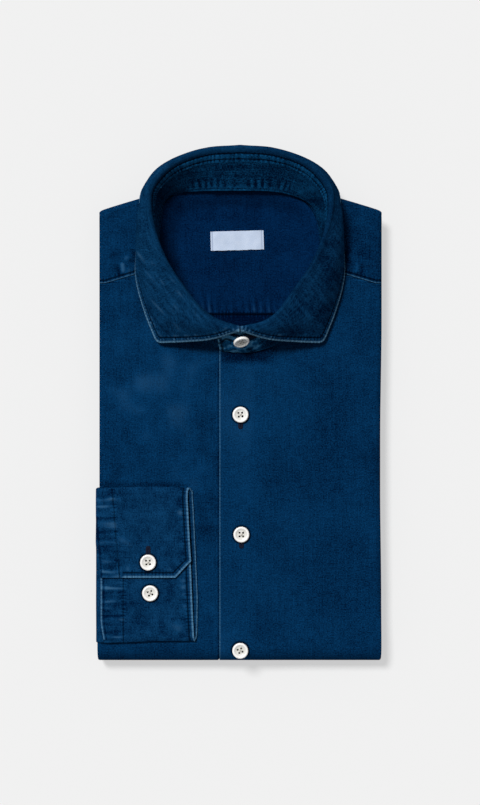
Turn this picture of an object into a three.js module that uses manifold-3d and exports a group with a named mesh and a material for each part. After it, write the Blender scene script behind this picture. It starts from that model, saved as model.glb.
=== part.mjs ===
// Long-sleeved denim shirt, folded for the shelf: face up, collar buttoned and standing, one cuff
// brought round the side onto the front. Millimetres, +Z up, +Y towards the collar.

import * as THREE from "three";
import { mergeVertices } from "three/addons/utils/BufferGeometryUtils.js";
import Module from "manifold-3d";

const wasm = await Module();
wasm.setup();

// Size of the folded shirt
const LENGTH = 400;
const BODY_LEFT = -108.8;
const BODY_RIGHT = 111.2;
const CENTRE_X = 0.8;
const STACK = 22;
const CLOTH = 1.2;
const GAP = 0.3;
const OVERLAP_LIFT = CLOTH + 1.3 * GAP;
const BOTTOM_Y = OVERLAP_LIFT - LENGTH / 2;

// Side folds of the body: the front turns round a soft edge and goes under
const FOLD_DEPTH = 8.4;
const FOLD_REACH = 4.5;

// Bottom fold: the whole body turns under, from the top surface down towards the table
const BOTTOM_REACH = 10.4;
const BOTTOM_TURN = 140;
const CORNER_PRESS = 0.3;
const CORNER_PRESS_ABOVE = 14;
const CORNER_LENGTH = 44;

// Neckline: half width, place of its widest points, and how far it dips to the front and back
const NECK_HALF_WIDTH = 63.5;
const NECK_Y = 107;
const NECK_FRONT = 63;
const NECK_BACK = 60.5;
const NECK_SQUARENESS = 4.4;
const POCKET_FLOOR = 13.2;

// Front edges: the wearer's left front lies over the right one by twice the distance to the buttons
const PLACKET = 16;

// Front yoke seam, from the neckline's widest point down to the side fold
const YOKE_SEAM_SIDE_Y = 94.5;
const SEAM_GAP = 0.4;

// Shoulder outline from the side fold to the back of the neck, as distances from the centre line,
// with the direction out of it. At the pressed corner that is the mitre of the two sides.
const SHOULDER_REACH = 110;
const SHOULDER_OUTLINE = [
  // x, y, out x, out y
  [110, 94.5, 1, 0],
  [110, 115, 1, 0],
  [110, 134, 1, 0],
  [110, 147, 1, 0.1],
  [109.4, 150.6, 1, 0.72],
  [103, 153.2, 0.4, 0.95],
  [90, 157.2, 0.29, 0.96],
  [75, 161.8, 0.29, 0.96],
  [58, 168, 0.27, 0.96],
  [38, 173.6, 0.2, 0.98],
  [18, 175.8, 0.08, 1],
  [0, 176.2, 0, 1],
];

// Collar, a row for each section from the centre front to the centre back: the angle of its foot on
// the neckline, the top of the roll, and the free edge of the leaf. x is counted from the centre.
const COLLAR_SECTIONS = [
  // angle, roll x, y, z, edge x, y, z
  [0, 0, 59.4, 44.5, 0, 57.2, 45.8],
  [15, 19.4, 66.3, 45, 21, 50.9, 39.8],
  [32, 32.4, 76.9, 46, 42.7, 49, 32.2],
  [50, 43.8, 91.4, 47.5, 64.2, 48.2, 25.6],
  [70, 55.2, 108.9, 49, 73.9, 73.4, 25],
  [92, 63.5, 128.6, 50, 80.1, 98.2, 25],
  [112, 68.6, 150, 50, 79.6, 121, 25],
  [129, 66.8, 167, 49.5, 77.6, 144, 26],
  [146, 51, 184.4, 47.5, 73, 171, 19.5],
  [163, 26, 194, 45.5, 40, 190, 9],
  [180, 0, 196.2, 45, 0, 196.2, 5],
];
const TIP_ROW = 3;
const BACK_ROW = COLLAR_SECTIONS.length - 1;
const STAND_THICKNESS = 1.8;
const LEAF_THICKNESS = 1.7;
const ROLL_HEIGHT = 3.5;
const ROLL_WIDTH = 3.6;
const STAND_OVERLAP_ROWS = 0.9;

// Cuff, flattened: a row for each point of its round, from the hidden button end, along the lower
// face, round the lower fold, back under and over the upper fold to the buttonhole end
const CUFF_THICKNESS = 1.4;
const CUFF_SLEEVE_EDGE = -105;
const CUFF_ROUND = [
  // y, z, x of the hand opening
  [-112, 25.3, -38.8],
  [-126, 25.3, -38.4],
  [-150, 25.3, -37.2],
  [-178, 25.3, -35.8],
  [-183, 25.15, -35.4],
  [-185, 24.3, -34.4],
  [-183, 23.35, -33.2],
  [-178, 23.2, -32.6],
  [-150, 23.2, -32.2],
  [-116, 23.2, -33.7],
  [-72, 23.2, -36],
  [-66.6, 23.4, -36.6],
  [-64.6, 24.6, -38.6],
  [-66.6, 25.8, -40.6],
  [-74, 26.1, -40.8],
  [-98, 26.6, -39.6],
  [-112, 27.2, -38.8],
  [-121.2, 27.3, -38.1],
  [-134.8, 27.3, -50.1],
];

// Sleeve behind the cuff, wrapped round the side of the body: both its plies in one wall
const SLEEVE_PATH = [
  // x, z, thickness
  [-105.6, 25.2, 4.4],
  [-107.3, 25, 3.6],
  [-109.1, 23.8, 2.4],
  [-110.1, 21.6, 2],
  [-110.15, 19.8, 2],
  [-110.15, 17.5, 2],
  [-109.7, 14.8, 2],
  [-108.2, 12.6, 2],
  [-106, 11.4, 2],
];
const SLEEVE_LOW_Y = -185.2;
const SLEEVE_HIGH_Y = -64.4;

// Buttons
const BUTTON_DIAMETER = 12.7;
const BUTTON_THICKNESS = 2.6;
const BUTTON_HOLE = 1.9;
const BUTTON_HOLE_SPACING = 2.7;
const FRONT_BUTTON_Y = [-7.3, -100.6, -191.4];
const CUFF_BUTTONS = [
  // x, y, top of the cloth under it
  [-70.9, -122.9, 28],
  [-69.3, -146.7, 26],
];

// Neck label
const LABEL = { width: 42.5, height: 15.5, thickness: 0.4, y: 126.5 };

const DENIM = { color: 0x0a3357, roughness: 0.92, metalness: 0 };
const DENIM_INSIDE = { color: 0x06233f, roughness: 0.95, metalness: 0 };
const PEARL = { color: 0xe2ddd6, roughness: 0.35, metalness: 0 };
const SATIN = { color: 0xbdcbe0, roughness: 0.6, metalness: 0 };

const shirt = new THREE.Group();

function add(name, geometry, look) {
  const mesh = new THREE.Mesh(geometry, new THREE.MeshStandardMaterial(look));
  mesh.name = name;
  shirt.add(mesh);
  return mesh;
}

// Rises softly from 0 at one value to 1 at the other, whichever is larger
function smooth(zeroAt, oneAt, value) {
  const rise = THREE.MathUtils.smoothstep(value, Math.min(zeroAt, oneAt), Math.max(zeroAt, oneAt));
  return zeroAt < oneAt ? rise : 1 - rise;
}

function degrees(angle) {
  return THREE.MathUtils.degToRad(angle);
}

// A closed surface from rings or strips of points, its faces turned outwards
function closedGeometry(points, faces) {
  const geometry = new THREE.BufferGeometry();
  const coordinates = points.flatMap((point) => point.toArray());
  geometry.setAttribute("position", new THREE.Float32BufferAttribute(coordinates, 3));
  const tripleProduct = ([a, b, c]) => points[a].dot(points[b].clone().cross(points[c]));
  const volume = faces.reduce((sum, face) => sum + tripleProduct(face), 0);
  geometry.setIndex(faces.flatMap(([a, b, c]) => (volume > 0 ? [a, b, c] : [a, c, b])));
  return geometry;
}

// A cloth wall: the rows hold the points of its middle surface, and thickness may differ by row
function wall(rows, thickness) {
  const last = { i: rows.length - 1, j: rows[0].length - 1 };
  const at = (i, j) => rows[THREE.MathUtils.clamp(i, 0, last.i)][THREE.MathUtils.clamp(j, 0, last.j)];
  const faceOf = [[], []];
  const points = [];
  for (let side = 0; side < 2; side += 1) {
    for (let i = 0; i <= last.i; i += 1) {
      const half = (typeof thickness === "number" ? thickness : thickness[i]) / 2;
      for (let j = 0; j <= last.j; j += 1) {
        const along = at(i, j + 1).clone().sub(at(i, j - 1));
        const across = at(i + 1, j).clone().sub(at(i - 1, j));
        const normal = along.cross(across).normalize();
        faceOf[side].push(points.length);
        points.push(at(i, j).clone().addScaledVector(normal, side ? -half : half));
      }
    }
  }
  const width = last.j + 1;
  const faces = [];
  const quad = (a, b, c, d) => faces.push([a, b, c], [a, c, d]);
  const index = (side, i, j) => faceOf[side][i * width + j];
  for (let i = 0; i < last.i; i += 1) {
    for (let j = 0; j < last.j; j += 1) {
      quad(index(0, i, j), index(0, i, j + 1), index(0, i + 1, j + 1), index(0, i + 1, j));
      quad(index(1, i, j), index(1, i + 1, j), index(1, i + 1, j + 1), index(1, i, j + 1));
    }
    quad(index(0, i, 0), index(0, i + 1, 0), index(1, i + 1, 0), index(1, i, 0));
    quad(index(0, i, last.j), index(1, i, last.j), index(1, i + 1, last.j), index(0, i + 1, last.j));
  }
  for (let j = 0; j < last.j; j += 1) {
    quad(index(0, 0, j), index(1, 0, j), index(1, 0, j + 1), index(0, 0, j + 1));
    quad(index(0, last.i, j), index(0, last.i, j + 1), index(1, last.i, j + 1), index(1, last.i, j));
  }
  return closedGeometry(points, faces);
}

function toManifold(geometry) {
  const bare = geometry.clone();
  bare.deleteAttribute("normal");
  bare.deleteAttribute("uv");
  const merged = mergeVertices(bare);
  return new wasm.Manifold(new wasm.Mesh({
    numProp: 3,
    vertProperties: new Float32Array(merged.attributes.position.array),
    triVerts: new Uint32Array(merged.index.array),
  }));
}

function fromManifold(solid) {
  const mesh = solid.getMesh();
  const geometry = new THREE.BufferGeometry();
  geometry.setAttribute("position", new THREE.BufferAttribute(mesh.vertProperties.slice(), 3));
  geometry.setIndex(new THREE.BufferAttribute(mesh.triVerts.slice(), 1));
  return geometry;
}

// The neckline's point at an angle from the centre front, on the side -1 (left in the photo) or +1.
// The front half is an ellipse. The back half grows squarer, up to the power NECK_SQUARENESS.
function neckPoint(angle, side, radiusChange = 0) {
  const turn = degrees(angle);
  const back = smooth(90, 125, angle);
  const power = THREE.MathUtils.lerp(2, NECK_SQUARENESS, back);
  const across = Math.sin(turn) ** (1 - 0.25 * back);
  const along = angle > 90 ? (1 - across ** power) ** (1 / power) : -Math.cos(turn);
  const reach = angle > 90 ? NECK_BACK : NECK_FRONT;
  return {
    x: CENTRE_X + side * (NECK_HALF_WIDTH + radiusChange) * across,
    y: NECK_Y + (reach + radiusChange) * along,
  };
}

function edgeX(side) {
  return side < 0 ? BODY_LEFT : BODY_RIGHT;
}

// Carries a depth below the front surface round the bottom fold, turn degrees after the flat top
function bottomFold(x, turn, depth) {
  const angle = degrees(turn);
  return new THREE.Vector3(
    x,
    BOTTOM_Y + BOTTOM_REACH - (BOTTOM_REACH - depth) * Math.sin(angle),
    STACK / 2 + (STACK / 2 - depth) * Math.cos(angle),
  );
}

// Stations across one front, from under the side fold over the top to the front edge
function frontStations(side, innerEdge) {
  const edge = edgeX(side) - side * (CLOTH / 2);
  const halfDepth = (FOLD_DEPTH - CLOTH) / 2;
  const stations = [];
  for (let turn = -90; turn <= 90; turn += 30) {
    stations.push({
      x: edge - side * FOLD_REACH * (1 - Math.cos(degrees(turn))),
      depth: FOLD_DEPTH / 2 - halfDepth * Math.sin(degrees(turn)),
    });
  }
  const flat = [96, 84, 74, 66].map((reach) => CENTRE_X + side * reach);
  for (let angle = 88; angle > -90; angle -= 9) {
    flat.push(CENTRE_X + side * NECK_HALF_WIDTH * Math.sin(degrees(angle)));
  }
  const inside = flat.filter((x) => side * (x - innerEdge) > 2);
  return [...stations, ...[...inside, innerEdge].map((x) => ({ x, depth: CLOTH / 2 }))];
}

function frontTopY(x, side) {
  const reach = side * (x - CENTRE_X);
  if (reach >= NECK_HALF_WIDTH) {
    const foldStart = Math.abs(edgeX(side) - CENTRE_X) - CLOTH / 2 - FOLD_REACH;
    const share = Math.min(1, (reach - NECK_HALF_WIDTH) / (foldStart - NECK_HALF_WIDTH));
    return THREE.MathUtils.lerp(NECK_Y, YOKE_SEAM_SIDE_Y, share) - SEAM_GAP / 2;
  }
  return NECK_Y - NECK_FRONT * Math.sqrt(1 - (reach / NECK_HALF_WIDTH) ** 2) - SEAM_GAP / 2;
}

// The side fold is pressed flatter towards the bottom, so that the corners stay square
function frontPanel(side, innerEdge, lift) {
  const edge = edgeX(side) - side * (CLOTH / 2);
  const start = BOTTOM_Y + BOTTOM_REACH;
  const rows = frontStations(side, innerEdge).map(({ x, depth }) => {
    const inFold = side * (edge - x) < FOLD_REACH;
    const pressed = (share) => {
      const press = THREE.MathUtils.lerp(CORNER_PRESS, 1, share);
      return {
        x: inFold ? THREE.MathUtils.lerp(edge, x, press) : x,
        depth: THREE.MathUtils.lerp(CLOTH / 2, depth, press) - lift(x),
      };
    };
    const line = [];
    const corner = pressed(0);
    for (let turn = BOTTOM_TURN; turn > 0; turn -= 20) {
      line.push(bottomFold(corner.x, turn, corner.depth));
    }
    for (let step = 0; step <= 8; step += 1) {
      const point = pressed(Math.min(1, step));
      const y = THREE.MathUtils.lerp(start, frontTopY(point.x, side), step / 8);
      line.push(new THREE.Vector3(point.x, y, STACK - point.depth));
    }
    return line;
  });
  return wall(rows, CLOTH);
}

// Fronts
const rightInner = CENTRE_X + PLACKET;
const leftInner = CENTRE_X - PLACKET;
add("right_front", frontPanel(-1, rightInner, () => 0), DENIM);
const leftLift = (x) => OVERLAP_LIFT * smooth(rightInner + 24, rightInner + 10, x);
add("left_front", frontPanel(1, leftInner, leftLift), DENIM);

// A smooth curve through rows of three numbers each
function curveThrough(rows) {
  const points = rows.map((row) => new THREE.Vector3(...row));
  return new THREE.CatmullRomCurve3(points, false, "catmullrom", 0.5);
}

// Outline of the shoulders with its outward direction, share 0 at the yoke seam, 1 at the centre back
const shoulderCurve = curveThrough(SHOULDER_OUTLINE.map(([x, y]) => [x, y, 0]));
const shoulderOut = curveThrough(SHOULDER_OUTLINE.map((row) => [row[2], row[3], 0]));

function shoulderPoint(share, side) {
  const point = shoulderCurve.getPoint(share);
  const out = shoulderOut.getPoint(share);
  const scale = Math.abs(edgeX(side) - CENTRE_X) / SHOULDER_REACH;
  return { x: CENTRE_X + side * point.x * scale, y: point.y, outX: side * out.x, outY: out.y };
}

// Yoke: from the neckline out to the shoulder outline, over the edge and under
function yokeLine(position) {
  const side = position <= 1 ? -1 : 1;
  const share = position <= 1 ? position : 2 - position;
  const neck = neckPoint(90 + 90 * share, side);
  const outline = shoulderPoint(share, side);
  const start = share === 0 ? SEAM_GAP / 2 : 0;
  const halfDepth = (FOLD_DEPTH - CLOTH) / 2;
  const line = [];
  const reach = CLOTH / 2 + FOLD_REACH;
  const edgeStart = { x: outline.x - outline.outX * reach, y: outline.y - outline.outY * reach };
  for (const step of [0, 0.34, 0.67]) {
    line.push(new THREE.Vector3(
      THREE.MathUtils.lerp(neck.x, edgeStart.x, step),
      THREE.MathUtils.lerp(neck.y, edgeStart.y, step) + start,
      STACK - CLOTH / 2,
    ));
  }
  for (let turn = 90; turn >= -90; turn -= 30) {
    const out = FOLD_REACH * Math.cos(degrees(turn));
    line.push(new THREE.Vector3(
      edgeStart.x + outline.outX * out,
      edgeStart.y + outline.outY * out + start,
      STACK - FOLD_DEPTH / 2 + halfDepth * Math.sin(degrees(turn)),
    ));
  }
  return line;
}

const YOKE_STEPS = 66;
const yokeRows = Array.from({ length: YOKE_STEPS + 1 }, (_, i) => yokeLine((2 * i) / YOKE_STEPS));
add("yoke", wall(yokeRows, CLOTH), DENIM);

// Inside of the back, seen through the neck: the yoke lining and the back panel below its seam
const LINING_SEAM_ANGLE = 53.5;
const LINING_SEAM_GAP_ANGLE = 0.45;
const LINING_SHRINK = -1.2;

function insideHeight(x, y) {
  const power = y > NECK_Y ? NECK_SQUARENESS : 2;
  const reachX = Math.abs(x - CENTRE_X) / (NECK_HALF_WIDTH + LINING_SHRINK);
  const reachY = Math.abs(y - NECK_Y) / ((y > NECK_Y ? NECK_BACK : NECK_FRONT) + LINING_SHRINK);
  const rim = smooth(0.76, 1, (reachX ** power + reachY ** power) ** (1 / power));
  return POCKET_FLOOR + GAP + CLOTH / 2 + 5.6 * rim * smooth(70, 120, y);
}

function insideRows(fromAngle, toAngle, steps) {
  return Array.from({ length: steps + 1 }, (_, i) => {
    const angle = THREE.MathUtils.lerp(fromAngle, toAngle, i / steps);
    const end = neckPoint(angle, 1, LINING_SHRINK);
    return Array.from({ length: 13 }, (_unused, j) => {
      const x = CENTRE_X + (end.x - CENTRE_X) * (j / 6 - 1);
      return new THREE.Vector3(x, end.y, insideHeight(x, end.y));
    });
  });
}

const liningRows = insideRows(LINING_SEAM_ANGLE + LINING_SEAM_GAP_ANGLE, 173, 16);
add("yoke_lining", wall(liningRows, CLOTH), DENIM_INSIDE);
add("back_panel", wall(insideRows(26, LINING_SEAM_ANGLE, 4), CLOTH), DENIM_INSIDE);

// Everything folded away inside: body, sleeves behind it and tail, one solid with layered sides
function sideInset(z) {
  const body = { low: 15.3, high: STACK - CLOTH - GAP, inset: CLOTH + 1.6 * GAP, round: 3.6 };
  const sleeves = { low: 8.3, high: 13.9, inset: 6.4, round: 1.6 };
  const tail = { low: 0, high: 7.9, inset: CLOTH + 1.6 * GAP, round: 3 };
  for (const layer of [body, sleeves, tail]) {
    if (z >= layer.low - 1e-6 && z <= layer.high + 1e-6) {
      const middle = (layer.low + layer.high) / 2;
      const share = Math.min(1, Math.abs(z - middle) / (layer.high - middle));
      return layer.inset + layer.round * (1 - Math.sqrt(1 - share ** 2));
    }
  }
  return 9;
}

// How far the core stays in from the bottom fold at a height, inside the turned cloth
function bottomInset(z) {
  const under = CLOTH + 2 * GAP;
  const share = (z - STACK / 2) / (STACK / 2 - under);
  return BOTTOM_REACH - (BOTTOM_REACH - under) * Math.sqrt(1 - Math.min(1, share ** 2));
}

const CORE_SHOULDER_SHARES = [
  0, 0.12, 0.21, 0.27, 0.3, 0.33, 0.36, 0.39, 0.42, 0.455,
  0.5, 0.545, 0.6, 0.66, 0.72, 0.78, 0.84, 0.9, 0.95,
];

function coreRing(z) {
  const inset = sideInset(z);
  const bottom = BOTTOM_Y + bottomInset(z);
  const half = (side) => {
    const points = [];
    const corner = edgeX(side) - side * inset;
    const inFold = edgeX(side) - side * Math.max(inset, FOLD_REACH + CLOTH + 2 * GAP);
    points.push(new THREE.Vector3(CENTRE_X + side * 40, bottom, z));
    points.push(new THREE.Vector3(CENTRE_X + side * 80, bottom, z));
    points.push(new THREE.Vector3(inFold, bottom, z));
    const cornerEnd = BOTTOM_Y + BOTTOM_REACH + (z > CORNER_PRESS_ABOVE ? CORNER_LENGTH : 2 * CLOTH);
    points.push(new THREE.Vector3(inFold, cornerEnd, z));
    for (const y of [cornerEnd + 2 * CLOTH, -130, -90, -45, 0, 50]) {
      points.push(new THREE.Vector3(corner, y, z));
    }
    for (const share of CORE_SHOULDER_SHARES) {
      const { x, y, outX, outY } = shoulderPoint(share, side);
      points.push(new THREE.Vector3(x - outX * inset, y - outY * inset, z));
    }
    return points;
  };
  const top = shoulderPoint(1, 1);
  return [
    new THREE.Vector3(CENTRE_X, bottom, z),
    ...half(-1),
    new THREE.Vector3(CENTRE_X, top.y - inset, z),
    ...half(1).reverse(),
  ];
}

const CORE_LEVELS = [
  // tail, sleeves, body
  0, 0.5, 1.8, 3.95, 6.1, 7.4, 7.9,
  8.1, 8.3, 9, 11.1, 13.2, 13.9,
  14.3, 15.3, 15.7, 16.5, 17.9, 19.3, 20.2, 20.5,
];

function foldedLayers() {
  const rings = CORE_LEVELS.map(coreRing);
  const count = rings[0].length;
  const points = rings.flat();
  const faces = [];
  for (let level = 0; level < rings.length - 1; level += 1) {
    for (let i = 0; i < count; i += 1) {
      const next = (i + 1) % count;
      const [a, b] = [level * count + i, level * count + next];
      faces.push([a, b, b + count], [a, b + count, a + count]);
    }
  }
  const lowCentre = points.push(new THREE.Vector3(CENTRE_X, 0, CORE_LEVELS[0])) - 1;
  const highCentre = points.push(new THREE.Vector3(CENTRE_X, 0, CORE_LEVELS[rings.length - 1])) - 1;
  const topStart = (rings.length - 1) * count;
  for (let i = 0; i < count; i += 1) {
    const next = (i + 1) % count;
    faces.push([lowCentre, next, i], [highCentre, topStart + i, topStart + next]);
  }
  const outline = Array.from({ length: 48 }, (_, i) => {
    const angle = (i * 360) / 48;
    const { x, y } = neckPoint(angle > 180 ? 360 - angle : angle, angle > 180 ? 1 : -1, -0.6);
    return [x, y];
  }).reverse();
  const pocket = wasm.CrossSection.ofPolygons([outline]).extrude(STACK).translate([0, 0, POCKET_FLOOR]);
  return fromManifold(toManifold(closedGeometry(points, faces)).subtract(pocket));
}

add("folded_layers", foldedLayers(), DENIM);

// One section of the collar. row counts from the centre front round the wearer's right side to the
// back and on round the left side; beyond either end it carries on under or over the other end.
const rollCurve = curveThrough(COLLAR_SECTIONS.map((row) => row.slice(1, 4)));
const leafFrontEdge = curveThrough(COLLAR_SECTIONS.slice(0, TIP_ROW + 1).map((row) => row.slice(4)));
const leafOuterEdge = curveThrough(COLLAR_SECTIONS.slice(TIP_ROW).map((row) => row.slice(4)));

function edgePoint(row) {
  if (row < TIP_ROW) {
    return leafFrontEdge.getPoint(row / TIP_ROW);
  }
  return leafOuterEdge.getPoint((row - TIP_ROW) / (BACK_ROW - TIP_ROW));
}

function collarSection(position) {
  const pastEnd = position < 0 || position > 2 * BACK_ROW;
  const fromFront = position <= BACK_ROW ? Math.abs(position) : Math.abs(2 * BACK_ROW - position);
  const row = Math.min(fromFront, BACK_ROW);
  const side = (position <= BACK_ROW) !== pastEnd ? -1 : 1;
  const low = Math.min(Math.floor(row), BACK_ROW - 1);
  const angle = THREE.MathUtils.lerp(COLLAR_SECTIONS[low][0], COLLAR_SECTIONS[low + 1][0], row - low);
  const outward = new THREE.Vector3(Math.sin(degrees(angle)), -Math.cos(degrees(angle)), 0);
  const foot = neckPoint(angle, 1, 1);
  const lap = smooth(2.6, 1.2, row);
  const layered = position > BACK_ROW ? lap : 0;
  const lapEnd = OVERLAP_LIFT * smooth(PLACKET + 12, PLACKET + 2, foot.x - CENTRE_X);
  const lift = side > 0 ? leftLift(foot.x) : lapEnd;
  const seam = new THREE.Vector3(foot.x - CENTRE_X, foot.y, STACK + GAP + 0.8 + lift);
  const roll = rollCurve.getPoint(row / BACK_ROW);
  const edge = edgePoint(row);
  const rise = roll.clone().sub(seam).normalize();
  const fall = edge.clone().sub(roll).normalize();
  const away = outward.clone().add(new THREE.Vector3(0, 0, 1));
  away.addScaledVector(fall, -away.dot(fall)).normalize();
  const face = outward.clone().addScaledVector(rise, -outward.dot(rise)).normalize();
  return { row, side, seam, roll, edge, rise, away, outward, face, lap, layered };
}

function place(point, side) {
  return new THREE.Vector3(CENTRE_X + side * point.x, point.y, point.z);
}

// Stand: from the neckline up to just below the roll, its ends lapped at the centre front
const STAND_PLY_STEP = STAND_THICKNESS + 0.5;

function standLine(position) {
  const { side, seam, roll, rise, outward, face, layered } = collarSection(position);
  const top = roll.clone().addScaledVector(rise, -ROLL_HEIGHT - SEAM_GAP);
  const fromEnd = 2 * BACK_ROW + STAND_OVERLAP_ROWS - position;
  const corner = 0.85 + 0.15 * smooth(0.9, 2.2, fromEnd) - 0.3 * (1 - smooth(0, 0.4, fromEnd));
  const line = [];
  for (let step = 0; step <= 5; step += 1) {
    const share = (step / 5) * corner;
    const point = seam.clone().lerp(top, share);
    const bow = 1.2 * Math.sin(Math.PI * share);
    point.addScaledVector(outward, bow);
    point.addScaledVector(outward, layered * STAND_PLY_STEP * (1 - share));
    point.addScaledVector(face, layered * STAND_PLY_STEP * share);
    line.push(place(point, side));
  }
  return line;
}

function positions(from, to, step) {
  const count = Math.round((to - from) / step);
  return Array.from({ length: count + 1 }, (_, i) => THREE.MathUtils.lerp(from, to, i / count));
}

const standRows = positions(-STAND_OVERLAP_ROWS, 2 * BACK_ROW + STAND_OVERLAP_ROWS, 0.3).map(standLine);
add("collar_stand", wall(standRows, STAND_THICKNESS), DENIM);

// Leaf: from the top of the stand over the roll and down to its free edge
function leafLine(position) {
  const { row, side, roll, edge, rise, away, face, lap, layered } = collarSection(position);
  const end = smooth(0.8, 0, row);
  const base = roll.clone().addScaledVector(face, layered * STAND_PLY_STEP * (1 - 0.6 * end));
  const width = ROLL_WIDTH - 1.2 * end + (lap - layered) * STAND_PLY_STEP * (1 - 0.6 * end);
  const over = (out, up) => base.clone().addScaledVector(face, out).addScaledVector(rise, up);
  const down = over(width, -1);
  const fullness = Math.min(1, down.distanceTo(edge) / 30);
  const curve = new THREE.CatmullRomCurve3([
    over(0, SEAM_GAP - ROLL_HEIGHT),
    over(0, -0.6),
    over(width / 2, 0.9),
    down,
    down.clone().lerp(edge, 0.35).addScaledVector(away, 3.2 * fullness),
    down.clone().lerp(edge, 0.68).addScaledVector(away, 2.4 * fullness),
    edge,
  ], false, "catmullrom", 0.5);
  return Array.from({ length: 14 }, (_, i) => place(curve.getPoint(i / 13), side));
}

const LEAF_END = 0.06;
const leafPositions = [LEAF_END, ...positions(0.3, 2 * BACK_ROW - 0.3, 0.5), 2 * BACK_ROW - LEAF_END];
const leafRows = leafPositions.map(leafLine);
add("collar_leaf", wall(leafRows, LEAF_THICKNESS), DENIM);

// Cuff and the sleeve that carries it round the side
const cuffRows = CUFF_ROUND.map(([y, z, handX]) => {
  const stations = positions(CUFF_SLEEVE_EDGE, handX, (handX - CUFF_SLEEVE_EDGE) / 6);
  return stations.map((x) => new THREE.Vector3(x, y, z));
});
add("cuff", wall(cuffRows, CUFF_THICKNESS), DENIM);

const sleeveStations = positions(SLEEVE_LOW_Y, SLEEVE_HIGH_Y, (SLEEVE_HIGH_Y - SLEEVE_LOW_Y) / 10);
const sleeveRows = SLEEVE_PATH.map(([x, z]) => sleeveStations.map((y) => new THREE.Vector3(x, y, z)));
add("sleeve_right", wall(sleeveRows, SLEEVE_PATH.map(([, , thickness]) => thickness)), DENIM);

// A four-hole button with a raised rim, its underside at z = 0
function button() {
  const radius = BUTTON_DIAMETER / 2;
  const profile = [
    [0, 0],
    [radius - 1.2, 0],
    [radius, 1.1],
    [radius - 0.1, 2],
    [radius - 0.7, BUTTON_THICKNESS],
    [radius - 1.5, BUTTON_THICKNESS - 0.1],
    [radius - 2.2, BUTTON_THICKNESS - 0.8],
    [0, BUTTON_THICKNESS - 1],
  ].map(([r, z]) => new THREE.Vector2(r, z));
  const disc = new THREE.LatheGeometry(profile, 24).rotateX(Math.PI / 2);
  let solid = toManifold(disc);
  for (const [x, y] of [[-1, -1], [1, -1], [1, 1], [-1, 1]]) {
    const hole = wasm.Manifold.cylinder(8, BUTTON_HOLE / 2, BUTTON_HOLE / 2, 8, true);
    const reach = BUTTON_HOLE_SPACING / 2;
    solid = solid.subtract(hole.translate([x * reach, y * reach, 0]));
  }
  return fromManifold(solid);
}

const buttonGeometry = button();
const placketTop = STACK + OVERLAP_LIFT;
FRONT_BUTTON_Y.forEach((y, i) => {
  const last = i === FRONT_BUTTON_Y.length - 1;
  const mesh = add(`front_button_${i + 1}`, buttonGeometry, PEARL);
  mesh.position.set(CENTRE_X, y, placketTop + GAP + (last ? 0.35 : 0));
  mesh.rotation.x = last ? degrees(3) : 0;
});
CUFF_BUTTONS.forEach(([x, y, top], i) => {
  add(`cuff_button_${i + 1}`, buttonGeometry, PEARL).position.set(x, y, top + GAP);
});

// Collar button on the lapped ends of the stand, facing out along the stand's slope
const standFront = standLine(2 * BACK_ROW - 0.05);
const buttonSeat = standFront[4].clone().lerp(standFront[5], 0.2);
const standRise = standFront[5].clone().sub(standFront[2]).normalize();
const tilt = Math.atan2(standRise.z, standRise.y);
const collarButton = add("collar_button", buttonGeometry, PEARL);
collarButton.rotation.x = tilt;
collarButton.position.copy(buttonSeat);
const standOut = new THREE.Vector3(0, -Math.sin(tilt), Math.cos(tilt));
collarButton.position.addScaledVector(standOut, STAND_THICKNESS / 2 + 2 * GAP);
collarButton.position.x = CENTRE_X;

// Blank label on the yoke lining
const labelGeometry = new THREE.BoxGeometry(LABEL.width, LABEL.height, LABEL.thickness);
add("neck_label", labelGeometry, SATIN).position.set(
  CENTRE_X - 1.5,
  LABEL.y,
  POCKET_FLOOR + GAP + CLOTH + GAP + LABEL.thickness / 2,
);

export default shirt;
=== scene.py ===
# %% [markdown]
# A denim shirt folded for the shelf, photographed from straight above.
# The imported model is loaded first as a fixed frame. Every piece below takes its place from the same
# sizes as that model, in millimetres, and is turned into metres when its mesh is made.

import math
from itertools import accumulate
from types import SimpleNamespace

import bmesh
import bpy
from mathutils import Matrix, Vector, noise
from mathutils.kdtree import KDTree


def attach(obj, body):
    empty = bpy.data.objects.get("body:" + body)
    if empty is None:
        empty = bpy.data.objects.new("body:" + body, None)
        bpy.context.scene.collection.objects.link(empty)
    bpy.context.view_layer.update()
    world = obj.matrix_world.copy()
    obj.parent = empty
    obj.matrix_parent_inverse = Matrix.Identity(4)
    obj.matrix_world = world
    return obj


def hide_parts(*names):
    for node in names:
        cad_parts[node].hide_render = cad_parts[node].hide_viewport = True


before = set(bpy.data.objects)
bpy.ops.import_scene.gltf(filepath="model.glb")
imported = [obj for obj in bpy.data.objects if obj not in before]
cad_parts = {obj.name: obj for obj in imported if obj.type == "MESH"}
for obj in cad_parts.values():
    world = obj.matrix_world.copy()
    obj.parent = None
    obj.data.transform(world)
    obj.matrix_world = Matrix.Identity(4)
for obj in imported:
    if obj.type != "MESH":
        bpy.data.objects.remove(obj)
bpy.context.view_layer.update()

# %% [markdown]
# Sizes of the real shirt. The fold is 220 mm wide and 400 mm long, as on a shop's folding board.
# The neckline is a rounded opening about 410 mm round, which is a size 40 collar. All later cells work
# out their points from these few numbers, so one change here moves everything that depends on it.

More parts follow.
